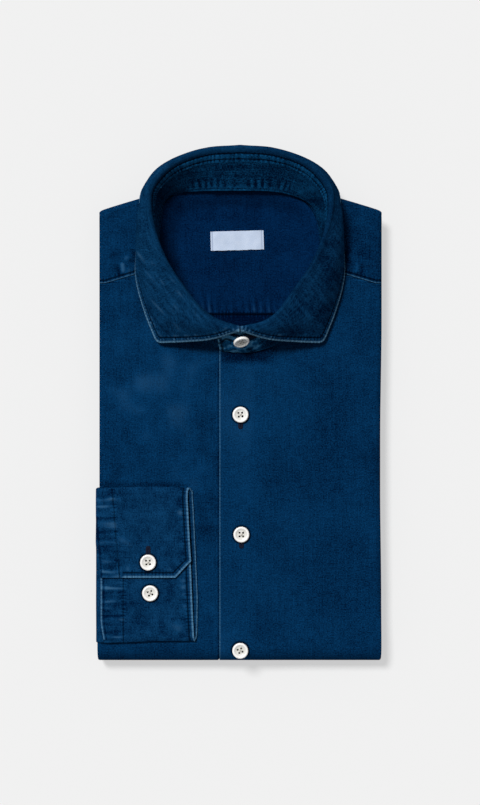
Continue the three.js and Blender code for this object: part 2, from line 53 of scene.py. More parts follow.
# %% Sizes in millimetres
# Where a value differs from side to side, -1 is the left of the picture and 1 the right.
MM = 0.001
LENGTH = 400
BODY_EDGE = {-1: -108.8, 1: 111.2}
CENTRE_X = 0.8
STACK = 22
CLOTH = 1.2
GAP = 0.3
LAP_LIFT = CLOTH + 1.3 * GAP
BOTTOM_Y = LAP_LIFT - LENGTH / 2
FOLD_DEPTH = 8.4
FOLD_REACH = 4.5
BOTTOM_REACH = 10.4
BOTTOM_TURN = 140
BOTTOM_START_Y = BOTTOM_Y + BOTTOM_REACH
NECK_HALF_WIDTH = 63.5
NECK_Y = 107
NECK_FRONT = 63
NECK_BACK = 60.5
NECK_SQUARENESS = {-1: 6.0, 1: 3.7}
POCKET_FLOOR = 13.2
PLACKET = 16
YOKE_SEAM_SIDE_Y = 94.5
SHOULDER_REACH = 110


def smooth(zero_at, one_at, value):
    """Rises softly from 0 to 1 between two values, in either direction."""
    share = min(1.0, max(0.0, (value - zero_at) / (one_at - zero_at)))
    return share * share * (3 - 2 * share)


def lerp(a, b, share):
    return a + (b - a) * share


def band(start, full, full_to, end, value):
    """Rises softly from 0 to 1, stays there for a while and falls back to 0."""
    return smooth(start, full, value) * smooth(end, full_to, value)


def between_rows(table, column, row):
    """What a column of a table says at a row with a fraction."""
    low = min(int(row), len(table) - 2)
    return lerp(table[low][column], table[low + 1][column], row - low)


def curve_point(points, share):
    """A point on a smooth curve through points, at a share from 0 to 1 of its stretches."""
    spot = min(max(share, 0.0), 1.0) * (len(points) - 1)
    i = min(int(spot), len(points) - 2)
    t = spot - i
    b, c = points[i], points[i + 1]
    a = points[i - 1] if i else b * 2 - c
    d = points[i + 2] if i + 2 < len(points) else c * 2 - b
    bend = (a * 2 - b * 5 + c * 4 - d) * t * t
    return 0.5 * (b * 2 + (c - a) * t + bend + (b * 3 - a - c * 3 + d) * t**3)


print("fold", BODY_EDGE[1] - BODY_EDGE[-1], "by", LENGTH, "mm")

# %% [markdown]
# Cloth is a sheet, so each piece starts as a flat grid and a formula carries each of its points to
# where it lies on the folded shirt. A grid keeps the two directions of the weave, and its UV map
# holds the flat cut in metres, so a weave or a worn line stays at its real size round any fold.
# Four more things are kept on the points: how far each is from the piece's edge and from a row of
# stitching, how far along the edge it lies, and how pale its crease is. The denim reads them, so the
# wear follows the sewing instead of being painted on.

# %% A helper that makes cloth
TRAITS = ("edge", "stitch", "run", "pale")
FAR = 60.0
MERGE = 0.01
RIM_ANGLE = math.radians(55)


def grid(across, along):
    """A flat grid of across by along cells, with layers for the traits and the flat cut."""
    mesh = bmesh.new()
    bmesh.ops.create_grid(mesh, x_segments=across, y_segments=along, size=0.5)
    layers = [mesh.verts.layers.float.new(trait) for trait in TRAITS]
    return mesh, layers, mesh.loops.layers.uv.new("cut")


def note(vert, layers, values):
    """Writes one value into each of a point's layers."""
    for layer, value in zip(layers, values):
        vert[layer] = value


def cloth(name, node, slot, material, cells, place, thickness, round_edge=0.35, relief=None, merge=False):
    """A piece of cloth. place(u, v) gives a point, its spot in the flat cut and its traits in order."""
    mesh, layers, cut = grid(*cells)
    spots = {}
    for vert in mesh.verts:
        vert.co, spots[vert], traits = place(vert.co.x + 0.5, vert.co.y + 0.5)
        note(vert, layers, traits)
    for face in mesh.faces:
        for loop in face.loops:
            loop[cut].uv = Vector(spots[loop.vert]) * MM
    mesh.normal_update()
    if relief:
        for vert in mesh.verts:
            vert.co += vert.normal * relief(*(vert[layer] for layer in layers))
    if merge:
        bmesh.ops.remove_doubles(mesh, verts=mesh.verts, dist=MERGE)
    bmesh.ops.scale(mesh, vec=(MM, MM, MM), verts=mesh.verts)
    piece = to_object(name, mesh)
    wall = piece.modifiers.new("cloth thickness", "SOLIDIFY")
    wall.thickness = thickness * MM
    wall.offset = 0
    if round_edge:
        rim = piece.modifiers.new("soft rim", "BEVEL")
        rim.width = round_edge * MM
        rim.segments = 2
        rim.limit_method = "ANGLE"
        rim.angle_limit = RIM_ANGLE
    finish_piece(piece, node, material)
    return piece


def close_up(mesh, near):
    """Merges points nearer than this, fills what is still open and turns the faces outwards."""
    bmesh.ops.remove_doubles(mesh, verts=mesh.verts, dist=near)
    bmesh.ops.holes_fill(mesh, edges=[edge for edge in mesh.edges if edge.is_boundary], sides=0)
    bmesh.ops.recalc_face_normals(mesh, faces=mesh.faces)


def to_object(name, mesh):
    """A smooth object from a mesh that is already in metres."""
    data = bpy.data.meshes.new(name)
    mesh.to_mesh(data)
    mesh.free()
    data.polygons.foreach_set("use_smooth", [True] * len(data.polygons))
    piece = bpy.data.objects.new(name, data)
    bpy.context.scene.collection.objects.link(piece)
    return piece


def lengths_along(points):
    """How far along a line each of its points lies."""
    return [0.0, *accumulate((end - start).length for start, end in zip(points, points[1:]))]


class Border:
    """The edge of a piece as a line of points: how far is a point from it, and where along it."""

    def __init__(self, points):
        self.runs = lengths_along(points)
        self.tree = KDTree(len(points))
        for i, point in enumerate(points):
            self.tree.insert(point, i)
        self.tree.balance()

    def near(self, point):
        _, index, distance = self.tree.find(point)
        return distance, self.runs[index]


def finish_piece(piece, node, material):
    """Hides the CAD part that a piece stands for, if any, and gives it its finish."""
    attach(piece, "root")
    if node:
        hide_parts(node)
    piece.data.materials.append(material)
    print(piece.name, len(piece.data.vertices), "points")


def soft_noise(x, y, seed, size):
    """Smooth noise from -1 to 1 with features of about size millimetres."""
    return noise.noise(Vector((x / size, y / size, seed * 7.31)))


def puckers(along, spacing, seed):
    """Ridges across a seam, roughly evenly spaced, some strong and some weak."""
    phase = 2 * math.pi * along / spacing + 2.5 * soft_noise(along, 0, seed, spacing * 2.5)
    return math.sin(phase) * (0.65 + 0.8 * soft_noise(along, 0, seed + 0.5, spacing * 1.5))


# %% [markdown]
# Shader maths reads best as plain expressions. A small class wraps a socket of a node, so that
# `0.5 + grain * 0.2` adds the Math nodes by itself. Every other node comes from one method that takes
# the node's type, its settings and its inputs.

# %% A helper for shader maths
class Value:
    """A number that varies over a surface."""

    def __init__(self, look, socket):
        self.look = look
        self.socket = socket

    def maths(self, operation, *others):
        return self.look.node("ShaderNodeMath", {"operation": operation}, dict(enumerate((self, *others))))

    def __add__(self, other):
        return self.maths("ADD", other)

    __radd__ = __add__

    def __mul__(self, other):
        return self.maths("MULTIPLY", other)

    __rmul__ = __mul__

    def __sub__(self, other):
        return self.maths("SUBTRACT", other)

    def __rsub__(self, other):
        return self.look.node("ShaderNodeMath", {"operation": "SUBTRACT"}, {0: other, 1: self})

    def size(self):
        return self.maths("ABSOLUTE")

    def wave(self):
        return self.maths("SINE")

    def clamped(self):
        return self.look.node("ShaderNodeClamp", {}, {0: self})

    def step(self, zero_at, one_at):
        """The same soft step as smooth() above."""
        low, high = (zero_at, one_at) if zero_at < one_at else (one_at, zero_at)
        rise = self.look.node(
            "ShaderNodeMapRange",
            {"interpolation_type": "SMOOTHSTEP"},
            {"Value": self, "From Min": low, "From Max": high},
        )
        return rise if zero_at < one_at else 1 - rise


class Look:
    """A material and the nodes in it."""

    def __init__(self, name):
        self.material = bpy.data.materials.new(name)
        self.material.use_nodes = True
        self.tree = self.material.node_tree
        self.shader = next(n for n in self.tree.nodes if n.type == "BSDF_PRINCIPLED")

    def node(self, kind, settings, inputs, output=0):
        node = self.tree.nodes.new(kind)
        for key, value in settings.items():
            setattr(node, key, value)
        for key, value in inputs.items():
            if isinstance(value, Value):
                self.tree.links.new(value.socket, node.inputs[key])
            else:
                node.inputs[key].default_value = value
        return Value(self, node.outputs[output])

    def noise(self, vector, scale, detail=2.0, roughness=0.5):
        inputs = {"Vector": vector, "Scale": scale, "Detail": detail, "Roughness": roughness}
        return self.node("ShaderNodeTexNoise", {}, inputs)

    def vector(self, operation, a, b, output=0):
        return self.node("ShaderNodeVectorMath", {"operation": operation}, {0: a, 1: b}, output)

    def stretched(self, vector, factors):
        return self.vector("MULTIPLY", vector, factors)

    def place(self):
        return self.node("ShaderNodeTexCoord", {}, {}, "Object")

    def flat_cut(self):
        """The spot in the flat cut, in millimetres."""
        cut = self.node("ShaderNodeUVMap", {"uv_map": "cut"}, {})
        return self.stretched(cut, (1 / MM, 1 / MM, 0.0))

    def trait(self, name):
        return self.node("ShaderNodeAttribute", {"attribute_name": name}, {}, "Fac")

    def mix(self, share, a, b):
        return self.node("ShaderNodeMix", {"data_type": "RGBA"}, {0: share, 6: a, 7: b}, 2)

    def bump(self, height, strength, distance):
        return self.node("ShaderNodeBump", {}, {"Height": height, "Strength": strength, "Distance": distance})

    def feed(self, **inputs):
        for key, value in inputs.items():
            socket = self.shader.inputs[key.replace("_", " ")]
            if isinstance(value, Value):
                self.tree.links.new(value.socket, socket)
            else:
                socket.default_value = value


# %% [markdown]
# Washed indigo denim. The warp yarns are dyed and the weft is white, so the cloth is a deep blue
# with a fine grain, faint streaks along the warp, and cloudy patches from the wash. Wherever it is
# doubled and sewn, the wash rubs the ridges pale and leaves the stitch line dark, and between an
# edge and its stitching the cloth puckers across the seam. Close round a button a ring of painted
# shadow darkens the cloth. All sizes are in millimetres of flat cloth.

# %% Denim
def colour(red, green, blue):
    """A colour as seen on a screen, 0 to 255, as the light values that a shader wants."""
    shares = (red / 255, green / 255, blue / 255)
    return tuple(((c + 0.055) / 1.055) ** 2.4 if c > 0.04 else c / 12.92 for c in shares) + (1.0,)


STITCH_PITCH = 2.7
PUCKER_REACH = 3.6
ROW_REACH = 1.0
TWILL = (5.2, 8.6, 0.0)
BUTTON_SHADOW_END = 8.4
BUTTON_SHADOW_START = 6.6
DARKEST = colour(0, 6, 20)


def denim(name, deep, plain, worn, rim=1.7, streaks=0.5, mottle=0.5, button_shadows=()):
    """Denim from its deep, plain and worn colours. rim is how wide the rubbed edge is, in millimetres."""
    look = Look(name)
    flat = look.flat_cut()
    grain = look.noise(flat, 0.95, 2.0, 0.7) - 0.5
    yarn = look.noise(look.stretched(flat, (0.75, 0.03, 1.0)), 1.0, 3.0, 0.6) - 0.5
    slub = look.noise(look.stretched(flat, (0.25, 1.0, 1.0)), 0.6, 2.0, 0.6) - 0.5
    cloud = look.noise(flat, 0.03, 3.0, 0.55) - 0.5
    patch = look.noise(flat, 0.16, 3.0, 0.6) - 0.5
    edge = look.trait("edge")
    stitch = look.trait("stitch").size()
    run = look.trait("run")
    pale = look.trait("pale")
    drift = look.noise(look.node("ShaderNodeCombineXYZ", {}, {0: run, 1: edge * 0.1, 2: 0.0}), 0.11, 2.0, 0.6)
    rope = (run * (2 * math.pi / STITCH_PITCH) + drift * 16).wave() * (0.35 + drift.step(0.35, 0.7) * 0.9)
    beside = stitch.step(PUCKER_REACH, 0.9)
    dark_row = stitch.step(ROW_REACH, 0.35)
    rub_edge = edge.step(rim, rim * 0.35)
    slant = look.vector("DOT_PRODUCT", flat, TWILL, 1)
    tone = 0.5 + grain * 2.2 + yarn * streaks + slub * 0.4 + cloud * 0.5 + patch * mottle
    tone = tone + pale * 0.6 + beside * rope * 0.3
    dyed = look.mix(tone.clamped(), deep, plain)
    rub = rub_edge * (0.5 + rope * 0.3 + grain * 0.9 + drift * 0.45) + pale.step(0.2, 1.1) * 0.5
    rubbed = look.mix(rub.clamped(), dyed, worn)
    shade = dark_row * 0.8
    # Painted shadow: a dark ring round each button, added to the dark stitch row
    for button in button_shadows:
        away = look.vector("DISTANCE", look.place(), button * MM, 1)
        shade = shade + away.step(BUTTON_SHADOW_END * MM, BUTTON_SHADOW_START * MM) * 0.85
    height = slant.wave() * 0.02 + grain * 0.3 + yarn * 0.05 + patch * 0.1
    height = height + beside * rope * 0.2 - dark_row * 0.35
    look.feed(Base_Color=look.mix(shade.clamped(), rubbed, DARKEST), Normal=look.bump(height, 0.6, 0.9 * MM))
    look.feed(Roughness=0.95, Specular_IOR_Level=0.0)
    return look.material


FRONT_BUTTONS = [Vector((x, y, STACK + LAP_LIFT)) for x, y in ((1.2, -7.9), (1.9, -100.9), (1.0, -190.9))]
CUFF_BUTTONS = [Vector((-70.3, -122.2, 28.3)), Vector((-68.8, -146.2, 26.3))]
BODY = denim(
    "denim body", colour(0, 14, 38), colour(8, 58, 100), colour(54, 96, 128), rim=1.3, button_shadows=FRONT_BUTTONS,
)
COLLAR = denim(
    "denim collar", colour(0, 17, 42), colour(14, 60, 98), colour(88, 132, 162),
    rim=1.9, streaks=0.8, mottle=0.8,
)
# The stand's denim is the collar's made lighter: painted light that lifts its lapped front out of the leaf's
# shadow
STAND_PAINTED_LIGHTER = denim(
    "denim stand painted lighter", colour(0, 17, 42), colour(16, 80, 126), colour(84, 144, 182),
    rim=1.9, streaks=0.8, mottle=0.6,
)
CUFF = denim(
    "denim cuff", colour(0, 18, 46), colour(14, 62, 102), colour(76, 122, 156), rim=1.8, mottle=1.1,
    button_shadows=CUFF_BUTTONS,
)
INSIDE = denim("denim inside", colour(0, 11, 36), colour(4, 44, 86), colour(44, 82, 116), mottle=0.6)
print("denim made")

# %% [markdown]
# The body's outline, shared by the fronts, the yoke and the hidden layers. The neckline is rounded in
# front and squarer at the back, where the yoke is cut straight. The shoulders slope from pressed
# corners up to the neck.

# %% Neckline, shoulders and folds
SHOULDER_OUTLINE = [
    # x, y, out x, out y, from the yoke seam at the side fold to the centre back
    (110, 94.5, 1, 0), (110, 115, 1, 0), (110, 134, 1, 0), (110, 147, 1, 0.1),
    (109.4, 150.6, 1, 0.72), (103, 153.2, 0.4, 0.95), (90, 157.2, 0.29, 0.96), (75, 161.8, 0.29, 0.96),
    (58, 168, 0.27, 0.96), (38, 173.6, 0.2, 0.98), (18, 175.8, 0.08, 1), (0, 176.2, 0, 1),
]
SHOULDER_POINTS = [Vector((x, y, 0)) for x, y, _, _ in SHOULDER_OUTLINE]
SHOULDER_OUT = [Vector((x, y, 0)) for _, _, x, y in SHOULDER_OUTLINE]


def neck_point(angle, side, wider=0.0):
    """The neckline at an angle from the centre front: an ellipse that grows squarer to the back."""
    turn = math.radians(angle)
    back = smooth(90, 125, angle)
    power = lerp(2, NECK_SQUARENESS[side], back)
    across = max(0.0, math.sin(turn)) ** (1 - 0.25 * back)
    along = max(0.0, 1 - across**power) ** (1 / power) if angle > 90 else -math.cos(turn)
    reach = NECK_BACK if angle > 90 else NECK_FRONT
    return Vector((
        CENTRE_X + side * (NECK_HALF_WIDTH + wider) * across,
        NECK_Y + (reach + wider) * along,
        0,
    ))


def shoulder_point(share, side):
    """A point of the shoulder outline and the direction out of it, longer at the corner's mitre."""
    scale = abs(BODY_EDGE[side] - CENTRE_X) / SHOULDER_REACH
    point = curve_point(SHOULDER_POINTS, share)
    out = curve_point(SHOULDER_OUT, share)
    return Vector((CENTRE_X + side * point.x * scale, point.y, 0)), Vector((side * out.x, out.y, 0))


SIDE_BOWS = {
    # how far the side bows to the right, and the two heights between which it does
    -1: [(-1.4, -110, -170)],
    1: [(-1.1, 80, -20), (0.8, -60, -150)],
}


def side_edge(side, y):
    """The body's side, which bows in and out a little, as a hand-made fold does."""
    return BODY_EDGE[side] + sum(bow * smooth(start, end, y) for bow, start, end in SIDE_BOWS[side])


def fold_over(x, turn, depth, lift):
    """Carries a depth below the front surface round the bottom fold."""
    angle = math.radians(turn)
    return Vector((
        x,
        BOTTOM_START_Y - (BOTTOM_REACH - depth + lift) * math.sin(angle),
        STACK / 2 + (STACK / 2 - depth + lift) * math.cos(angle),
    ))


print("neckline from", round(neck_point(0, 1).y, 1), "to", round(neck_point(180, 1).y, 1), "mm")

# %% [markdown]
# Folded cloth is never quite flat: the layers underneath print through, and handling leaves soft
# dents. Each row of the table is one shallow ridge or trough, placed one by one with its own length,
# width and height. They are too faint to see as lines and only break the evenness of the light.

# %% Soft creases of the body
FRONT_CREASES = [
    # x1, y1, x2, y2, width, height
    (-72, 40, -60, -40, 14, 0.35),
    (-40, 20, -30, -60, 11, -0.3),
    (-95, 80, -88, -20, 10, -0.35),
    (-90, -20, -55, -50, 12, 0.3),
    (-28, -80, -24, -170, 9, 0.3),
    (48, 30, 60, -60, 15, 0.4),
    (82, 84, 74, -10, 12, -0.4),
    (96, 20, 98, -90, 9, 0.35),
    (40, -60, 46, -150, 12, -0.35),
    (70, -80, 88, -170, 14, 0.4),
    (30, 44, 58, 70, 7, 0.5),
    (-34, 46, -62, 76, 7, 0.45),
    (-2, 28, 22, 28, 4.5, 0.45),
]
PATCHES = [
    # x, y, size, how much paler or, below 0, darker the cloth is made there
    (-62, 5, 42, 0.3),
    (-45, -60, 22, 0.2),
    (30, 20, 25, 0.15),
    (70, -30, 30, -0.15),
]


CREASE_ENDS = (-0.2, 0.2, 0.8, 1.2)


def creases(x, y, rows):
    """The height that the rows of a crease table give at a point."""
    height = 0.0
    for x1, y1, x2, y2, width, rise in rows:
        ahead = Vector((x2 - x1, y2 - y1))
        away = Vector((x - x1, y - y1))
        share = away.dot(ahead) / ahead.length_squared
        if CREASE_ENDS[0] < share < CREASE_ENDS[-1]:
            aside = (away - ahead * share).length / width
            height += rise * math.exp(-aside * aside) * band(*CREASE_ENDS, share)
    return height


print(len(FRONT_CREASES), "creases")

# %% [markdown]
# The two fronts. On the real shirt each is one flat piece from the front edge to the side seam. Here
# it runs across the top of the fold, round the soft side fold and a little under, and round the
# bottom fold with everything inside it. The wearer's left front (right in the picture) lies on top,
# so it is lifted by one cloth along the lap and comes down again beside it. Its turned-in edge is
# the pale line down the middle of the shirt.

# %% Fronts
SIDE_FOLD_LENGTH = 12.8
BOTTOM_FOLD_SHARE = 0.09
CORNER_PRESS = 0.2
CORNER_LENGTH = 36
SEAM_GAP = 0.1
LAP_EASE = (24, 2)
RIGHT_INNER = CENTRE_X + PLACKET
LEFT_INNER = CENTRE_X - PLACKET
CUFF_SHADE_Y = -62.6
NECK_SHADOW_Y = 29.5
FRONT_RIM = 0.15


def front_top(x, side):
    """Where a front ends at the neckline or at the yoke seam."""
    reach = side * (x - CENTRE_X)
    if reach >= NECK_HALF_WIDTH:
        start = abs(BODY_EDGE[side] - CENTRE_X) - CLOTH / 2 - FOLD_REACH
        share = min(1, (reach - NECK_HALF_WIDTH) / (start - NECK_HALF_WIDTH))
        return lerp(NECK_Y, YOKE_SEAM_SIDE_Y, share) - SEAM_GAP
    return NECK_Y - NECK_FRONT * math.sqrt(1 - (reach / NECK_HALF_WIDTH) ** 2) - SEAM_GAP


def left_lift(x):
    """How far the lap of the left front is lifted."""
    return LAP_LIFT * smooth(RIGHT_INNER + LAP_EASE[0], RIGHT_INNER + LAP_EASE[1], x)


def right_reach(x):
    """How much further the right front reaches at the bottom fold, where no lap hides it."""
    return LAP_LIFT * smooth(LEFT_INNER - 0.1, LEFT_INNER - 0.9, x)


def front_spot(side, inner, lift, reach_out):
    """The place formula of one front. reach_out is how much further it reaches at the bottom fold."""
    fold_start = abs(BODY_EDGE[side] - side * CLOTH / 2 - side * FOLD_REACH - inner)
    width = fold_start + SIDE_FOLD_LENGTH

    def place(u, v):
        across = u * width
        up = (v - BOTTOM_FOLD_SHARE) / (1 - BOTTOM_FOLD_SHARE)
        flat_y = lerp(BOTTOM_START_Y, NECK_Y, up)
        edge = side_edge(side, flat_y) - side * CLOTH / 2
        press = lerp(CORNER_PRESS, 1, smooth(0, CORNER_LENGTH, flat_y - BOTTOM_START_Y))
        start = edge - side * FOLD_REACH * press
        if across < SIDE_FOLD_LENGTH:
            turn = math.radians(lerp(-90, 90, across / SIDE_FOLD_LENGTH))
            x = edge - side * FOLD_REACH * press * (1 - math.cos(turn))
            depth = CLOTH / 2 + (FOLD_DEPTH - CLOTH) / 2 * press * (1 - math.sin(turn))
        else:
            x = lerp(start, inner, (across - SIDE_FOLD_LENGTH) / fold_start)
            depth = CLOTH / 2
        top = front_top(x, side)
        from_inner = abs(x - inner)
        if v < BOTTOM_FOLD_SHARE:
            turn = BOTTOM_TURN * (1 - v / BOTTOM_FOLD_SHARE)
            point = fold_over(x, turn, depth, reach_out(x))
            point.z += (lift(x) - reach_out(x)) * math.cos(math.radians(turn))
            y = BOTTOM_START_Y - math.radians(turn) * BOTTOM_REACH
        else:
            y = lerp(BOTTOM_START_Y, top, up)
            point = Vector((x, y, STACK - depth + lift(x)))
            level = smooth(0, 12, top - y) * smooth(0, 10, (x - start) * -side)
            point.z += level * (creases(x, y, FRONT_CREASES) + 0.12 * soft_noise(x, y, side, 22))
        pale = 0.2 * smooth(34, 20, from_inner) + 0.22 * soft_noise(x, y, 7 + side, 45)
        for at_x, at_y, size, amount in PATCHES:
            pale += amount * math.exp(-((x - at_x) ** 2 + (y - at_y) ** 2) / size**2)
        seam = top - y if abs(x - CENTRE_X) > NECK_HALF_WIDTH else FAR
        if side < 0:
            # Painted shade: a dark band along the thick top edge of the cuff
            pale -= 0.6 * math.exp(-(((y - CUFF_SHADE_Y) / 2.2) ** 2)) * smooth(-36, -46, x)
            pale += 0.3 * soft_noise(x, y, 11, 13)
            # Painted shadow: a dark line just left of the lapped edge of the other front
            pale -= 0.7 * smooth(1.8, 0.4, LEFT_INNER - x) * (x < LEFT_INNER)
        else:
            # Painted shadow: a dark band below the neck seam, under the buttoned collar
            neck_shadow = smooth(NECK_SHADOW_Y, NECK_SHADOW_Y + 6.5, y) * smooth(30, 10, abs(x - 6))
            pale -= 1.05 * neck_shadow * smooth(0.6, 2, from_inner)
        return point, (x, y), (from_inner + FRONT_RIM, seam, y, pale)

    return place


right_place = front_spot(-1, RIGHT_INNER, lambda x: 0.0, right_reach)
right_front = cloth("shirt_right_front", "right_front", "denim", BODY, (150, 190), right_place, CLOTH)
left_place = front_spot(1, LEFT_INNER, left_lift, lambda x: LAP_LIFT)
left_front = cloth("shirt_left_front", "left_front", "denim", BODY, (120, 200), left_place, CLOTH, 0.45)

# %% [markdown]
# The yoke covers the shoulders. It starts at the stitched seam across each front, passes round the
# neck and turns over the top edge of the fold to the back. Its lines run from the neckline out to
# the shoulder outline, like spokes, so the mesh is even where the cloth is.

# %% Yoke
YOKE_FOLD_SHARE = 0.34
YOKE_FOLD_LENGTH = 12
YOKE_WEAR = {-1: 0.9, 1: 0.6}
YOKE_RIM = 0.25
YOKE_STITCH = 2.1
YOKE_CREASES = [
    # x1, y1, x2, y2, width, height, each mirrored for the other shoulder
    (-107, 107, -97, 112, 2.2, 0.7),
    (-106, 123, -98, 128, 3, 0.6),
    (-91.5, 110, -90.7, 102.5, 1.6, 1.1),
    (-95, 108, -94, 100, 1.8, -0.8),
    (-90, 113, -82, 116, 2.2, 0.7),
    (-84, 110, -82, 120, 3.5, -0.8),
    (-104, 140, -90, 146, 6, 0.3),
    (-87, 99, -86, 106, 1.6, 0.6),
    (-101, 114, -92, 119, 4, -0.5),
]


def yoke_spot(u, v):
    position = 2 * u
    side = -1 if position <= 1 else 1
    share = position if position <= 1 else 2 - position
    neck = neck_point(90 + 90 * share, side)
    outline, out = shoulder_point(share, side)
    start = outline - out * (CLOTH / 2 + FOLD_REACH)
    half_depth = (FOLD_DEPTH - CLOTH) / 2
    flat = 1 - YOKE_FOLD_SHARE
    if v < flat:
        point = neck.lerp(start, v / flat)
        rise = creases(-abs(point.x - CENTRE_X), point.y, YOKE_CREASES)
        rise += 0.2 * soft_noise(point.x, point.y, 5, 14)
        rise *= band(0, 0.15, 0.7, 1, v / flat)
        point.z = STACK - CLOTH / 2 + rise
    else:
        turn = math.radians(lerp(90, -90, (v - flat) / YOKE_FOLD_SHARE))
        point = start + out * (FOLD_REACH * math.cos(turn))
        point.z = STACK - FOLD_DEPTH / 2 + half_depth * math.sin(turn)
        rise = 0.0
    # The seam is a straight line, and how far a point lies above it is an exact measure of the rim
    inner_end = neck_point(90, side)
    side_point, side_out = shoulder_point(0, side)
    side_start = side_point - side_out * (CLOTH / 2 + FOLD_REACH)
    ahead = (side_start - inner_end).normalized()
    beyond = point - inner_end
    seam = side * (ahead.x * beyond.y - ahead.y * beyond.x)
    if side * (point.x - side_start.x) > 0:
        seam = point.y - side_start.y
    cut = point if v < flat else start + out * (YOKE_FOLD_LENGTH * (v - flat) / YOKE_FOLD_SHARE)
    run = v * (outline - neck).length
    # Painted shade: the last term darkens the right half, as the light falls from the left
    pale = YOKE_WEAR[side] * rise - 0.25 * smooth(CENTRE_X, CENTRE_X + 50, point.x)
    return point, (cut.x, cut.y), (seam + YOKE_RIM, seam - YOKE_STITCH, run, pale)


yoke = cloth("shirt_yoke", "yoke", "denim", BODY, (420, 52), yoke_spot, CLOTH, 0.45)

# %% [markdown]
# Through the neck the inside of the back shows: the yoke lining with the label on it, and below its
# seam a strip of the back panel. The lining rises at its rim to the neck seam. Along the lower seam
# it has small gathers, which are ridges in the mesh as well as paler bars in the colour.

# %% Inside of the back
LINING_SEAM_ANGLE = 53.5
LINING_SHRINK = -1.2
BACK_PANEL_ANGLE = 26
HOLLOW_HALF_WIDTH = NECK_HALF_WIDTH + LINING_SHRINK
RIM_RISE = 5.6


def hollow_shape(y, side):
    """How square the hollow is at a height in the picture, and how high up or down y is in it."""
    if y > NECK_Y:
        return NECK_SQUARENESS[side], abs(y - NECK_Y) / (NECK_BACK + LINING_SHRINK)
    return 2, abs(y - NECK_Y) / (NECK_FRONT + LINING_SHRINK)


def inside_share(x, y):
    """0 in the middle of the hollow and 1 at the neck seam."""
    power, upward = hollow_shape(y, 1 if x > CENTRE_X else -1)
    return ((abs(x - CENTRE_X) / HOLLOW_HALF_WIDTH) ** power + upward**power) ** (1 / power)


def inside_width(y, side):
    """How far the hollow reaches to one side at a height in the picture."""
    power, upward = hollow_shape(y, side)
    return HOLLOW_HALF_WIDTH * max(0.0, 1 - upward**power) ** (1 / power)


def inside_height(x, y):
    rim = smooth(0.76, 1, inside_share(x, y))
    return POCKET_FLOOR + GAP + CLOTH / 2 + RIM_RISE * rim * smooth(70, 120, y)


def inside_spot(low, high, seam_at_start):
    """The place formula of a piece between two heights, gathered where it starts with the seam."""

    def place(u, v):
        y = lerp(low, high, 1 - (1 - v) ** 1.6)
        x = CENTRE_X + inside_width(y, 1 if u > 0.5 else -1) * (2 * u - 1)
        seam = y - low if seam_at_start else FAR
        bars = puckers(x + 0.1 * y, 5.8, 9) + 0.4 * soft_noise(x, y * 0.3, 10, 1.9)
        gather = bars * smooth(19, 1, seam) * smooth(0, 2, seam)
        dent = soft_noise(x, y, 3, 20)
        point = Vector((x, y, inside_height(x, y) + 0.55 * gather + 0.3 * dent))
        pale = 0.5 * gather + 0.2 * dent
        if not seam_at_start:
            pale -= 0.7
        stitch = seam - 0.5 if seam_at_start else high - y
        return point, (x, y), (FAR, stitch, x, pale)

    return place


SEAM_Y = neck_point(LINING_SEAM_ANGLE, 1, LINING_SHRINK).y
lining_place = inside_spot(SEAM_Y + 0.35, NECK_Y + NECK_BACK + LINING_SHRINK - 0.05, True)
back_place = inside_spot(neck_point(BACK_PANEL_ANGLE, 1, LINING_SHRINK).y, SEAM_Y, False)
INSIDE_FINISH = ("denim_inside", INSIDE)
lining = cloth("shirt_yoke_lining", "yoke_lining", *INSIDE_FINISH, (180, 110), lining_place, CLOTH, 0.3)
back = cloth("shirt_back_panel", "back_panel", *INSIDE_FINISH, (90, 20), back_place, CLOTH, 0.3)

# %% [markdown]
# Everything folded away inside is one rounded body: the back of the shirt, both sleeves laid behind
# it and the tail turned up under them. Only its sides show. They are a stack of rounded lobes, one
# for each fold, drawn as a wall that runs once round the outline and then gets a flat floor and roof.

# %% Hidden layers
LAYERS = [
    # low z, high z, inset, roundness, waviness
    (0.0, 3.7, 1.9, 1.5, 0.3),
    (3.9, 7.7, 1.7, 1.6, 0.35),
    (8.0, 10.8, 5.6, 1.2, 0.6),
    (11.0, 13.8, 6.4, 1.2, 0.6),
    (15.3, 20.5, 1.7, 3.6, 0.0),
]
LAYER_STEPS = 6
SIDE_STEPS = 50
SHOULDER_STEPS = 60
GROOVE_INSET = 8.6
GROOVE_LEVEL = 14.4
CORNER_INSET = 6.4


def side_inset(z, x, y):
    """How far the layer at this height stays behind the outline."""
    for i, (low, high, inset, roundness, waves) in enumerate(LAYERS):
        if low - 0.05 <= z <= high + 0.05:
            share = min(1.0, abs(z - (low + high) / 2) / ((high - low) / 2))
            wave = waves * (0.5 + 0.5 * soft_noise(x + y, 0, i + 20, 45))
            return inset + wave + roundness * (1 - math.sqrt(1 - share * share))
    return GROOVE_INSET


def core_line():
    """The outline that the layers follow, with the direction out of it and a mark on the bottom fold."""
    line = []
    for side in (-1, 1):
        half = []
        for step in range(8):
            x = lerp(CENTRE_X, BODY_EDGE[side] - side * 6, step / 7.5)
            half.append((Vector((x, BOTTOM_Y, 0)), Vector((0, -1, 0)), 1))
        for step in range(SIDE_STEPS):
            y = lerp(BOTTOM_START_Y + 2, YOKE_SEAM_SIDE_Y, step / SIDE_STEPS)
            half.append((Vector((BODY_EDGE[side], y, 0)), Vector((side, 0, 0)), 0))
        for step in range(SHOULDER_STEPS):
            point, out = shoulder_point(step / SHOULDER_STEPS, side)
            half.append((point, out, 0))
        top = (Vector((CENTRE_X, SHOULDER_OUTLINE[-1][1], 0)), Vector((0, 1, 0)), 0)
        line += half if side < 0 else [top] + half[:0:-1]
    return line


def bottom_inset(z):
    """How far the layers stay behind the bottom fold, which wraps them as a half round."""
    under = CLOTH + 2 * GAP
    share = min(1.0, abs(z - STACK / 2) / (STACK / 2 - under))
    return BOTTOM_REACH - (BOTTOM_REACH - under) * math.sqrt(1 - share * share)


